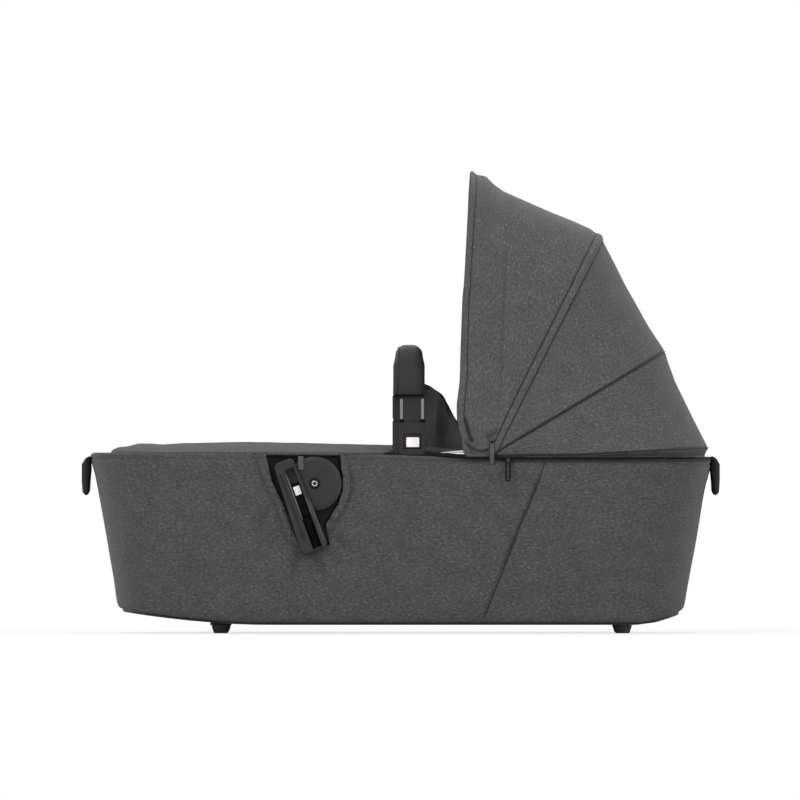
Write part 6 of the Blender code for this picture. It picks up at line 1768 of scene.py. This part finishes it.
@dataclass
class Studio:
    """Camera, floor and lamps."""

    camera_x: float = -0.0010
    camera_z: float = 0.3106
    distance: float = 50.0
    lens: float = 1685.0
    aim_z: float = 0.28
    soft_tone: float = 0.60
    floor_radius: float = 2.4
    fade: Spot = (0.75, 1.7)
    lamps: tuple[tuple[str, Row, float, float], ...] = (
        ("key", (-1.5, -2.4, 2.3), 1.6, 46.0), ("fill", (2.0, -2.2, 1.2), 1.8, 22.0),
        ("top", (0.2, 0.4, 2.9), 1.8, 14.0), ("back", (0.0, 2.8, 1.4), 1.8, 20.0))

    def camera(self) -> None:
        """A level camera at the photograph's angle."""
        data = bpy.data.cameras.new("camera")
        data.lens = self.lens
        data.sensor_width = 36.0
        data.clip_end = 100.0
        made = bpy.data.objects.new("camera", data)
        made.location = (self.camera_x, -self.distance, self.camera_z)
        made.rotation_euler = (math.pi / 2.0, 0.0, 0.0)
        bpy.context.scene.collection.objects.link(made)
        bpy.context.scene.camera = made

    def floor(self) -> None:
        """A pale round floor that fades into the background."""
        bpy.ops.object.select_all(action="DESELECT")
        bpy.ops.mesh.primitive_circle_add(vertices=96, radius=self.floor_radius, fill_type="NGON",
                                          location=(0.0, 0.0, -0.0002))
        floor = bpy.context.object
        floor.name = "studio_floor"
        shader = Shader("studio_floor", 0.9)
        shader.colour((0.86, 0.86, 0.86, 1.0))
        rays = shader.node("ShaderNodeLightPath", {}).outputs
        white = shader.node("ShaderNodeEmission", {"Color": (1.0, 1.0, 1.0, 1.0), "Strength": 1.0}).outputs[0]
        clear = shader.node("ShaderNodeBsdfTransparent", {}).outputs[0]
        lifted = shader.mix(shader.sum("MULTIPLY", rays["Is Camera Ray"], 0.72), shader.surface.outputs[0], white)
        distance = shader.node("ShaderNodeVectorMath", {0: shader.place(Coordinates.PLACE)}, operation="LENGTH")
        near, far = self.fade
        fade = shader.node("ShaderNodeMapRange", {"Value": distance.outputs["Value"], "From Min": near,
                                                  "From Max": far}, interpolation_type="SMOOTHSTEP")
        faded = shader.mix(fade.outputs["Result"], lifted, clear)
        shader.feed(shader.tree.nodes["Material Output"].inputs[0], faded)
        floor.data.materials.append(shader.material)

    def world(self) -> None:
        """White surroundings for the camera and reflections, softer ones for the light."""
        world = bpy.data.worlds.new("studio")
        bpy.context.scene.world = world
        world.use_nodes = True
        graph = Graph(world.node_tree)
        graph.tree.nodes.clear()
        rays = graph.node("ShaderNodeLightPath", {}).outputs
        seen = graph.sum("MAXIMUM", rays["Is Camera Ray"], rays["Is Glossy Ray"])
        seen = graph.sum("MAXIMUM", seen, rays["Is Transmission Ray"])
        soft, white = (graph.node("ShaderNodeBackground", {"Color": (tone, tone, tone, 1.0)}).outputs[0]
                       for tone in (self.soft_tone, 1.0))
        graph.node("ShaderNodeOutputWorld", {"Surface": graph.mix(seen, soft, white)})

    def lamp(self, name: str, place: Row, size: float, power: float) -> None:
        """A square soft lamp that points at the middle of the carrycot."""
        data = bpy.data.lights.new(name, "AREA")
        data.size = size
        data.energy = power
        made = bpy.data.objects.new(name, data)
        made.location = place
        aim = Vector((0.0, 0.0, self.aim_z)) - Vector(place)
        made.rotation_euler = aim.to_track_quat("-Z", "Y").to_euler()
        bpy.context.scene.collection.objects.link(made)

    def build(self) -> None:
        """Set up everything around the carrycot."""
        bpy.context.scene.view_settings.view_transform = "Standard"
        self.camera()
        self.floor()
        self.world()
        for lamp in self.lamps:
            self.lamp(*lamp)


def main() -> None:
    """Build every sub-assembly in order."""
    logging.basicConfig(level=logging.INFO, format="%(name)s: %(message)s")
    tub = Tub()
    for part in (Studio(), tub, Apron(tub), Hood(tub), Handle(), Brackets()):
        log.info("building %s", type(part).__name__)
        part.build()


if __name__ == "__main__":
    main()
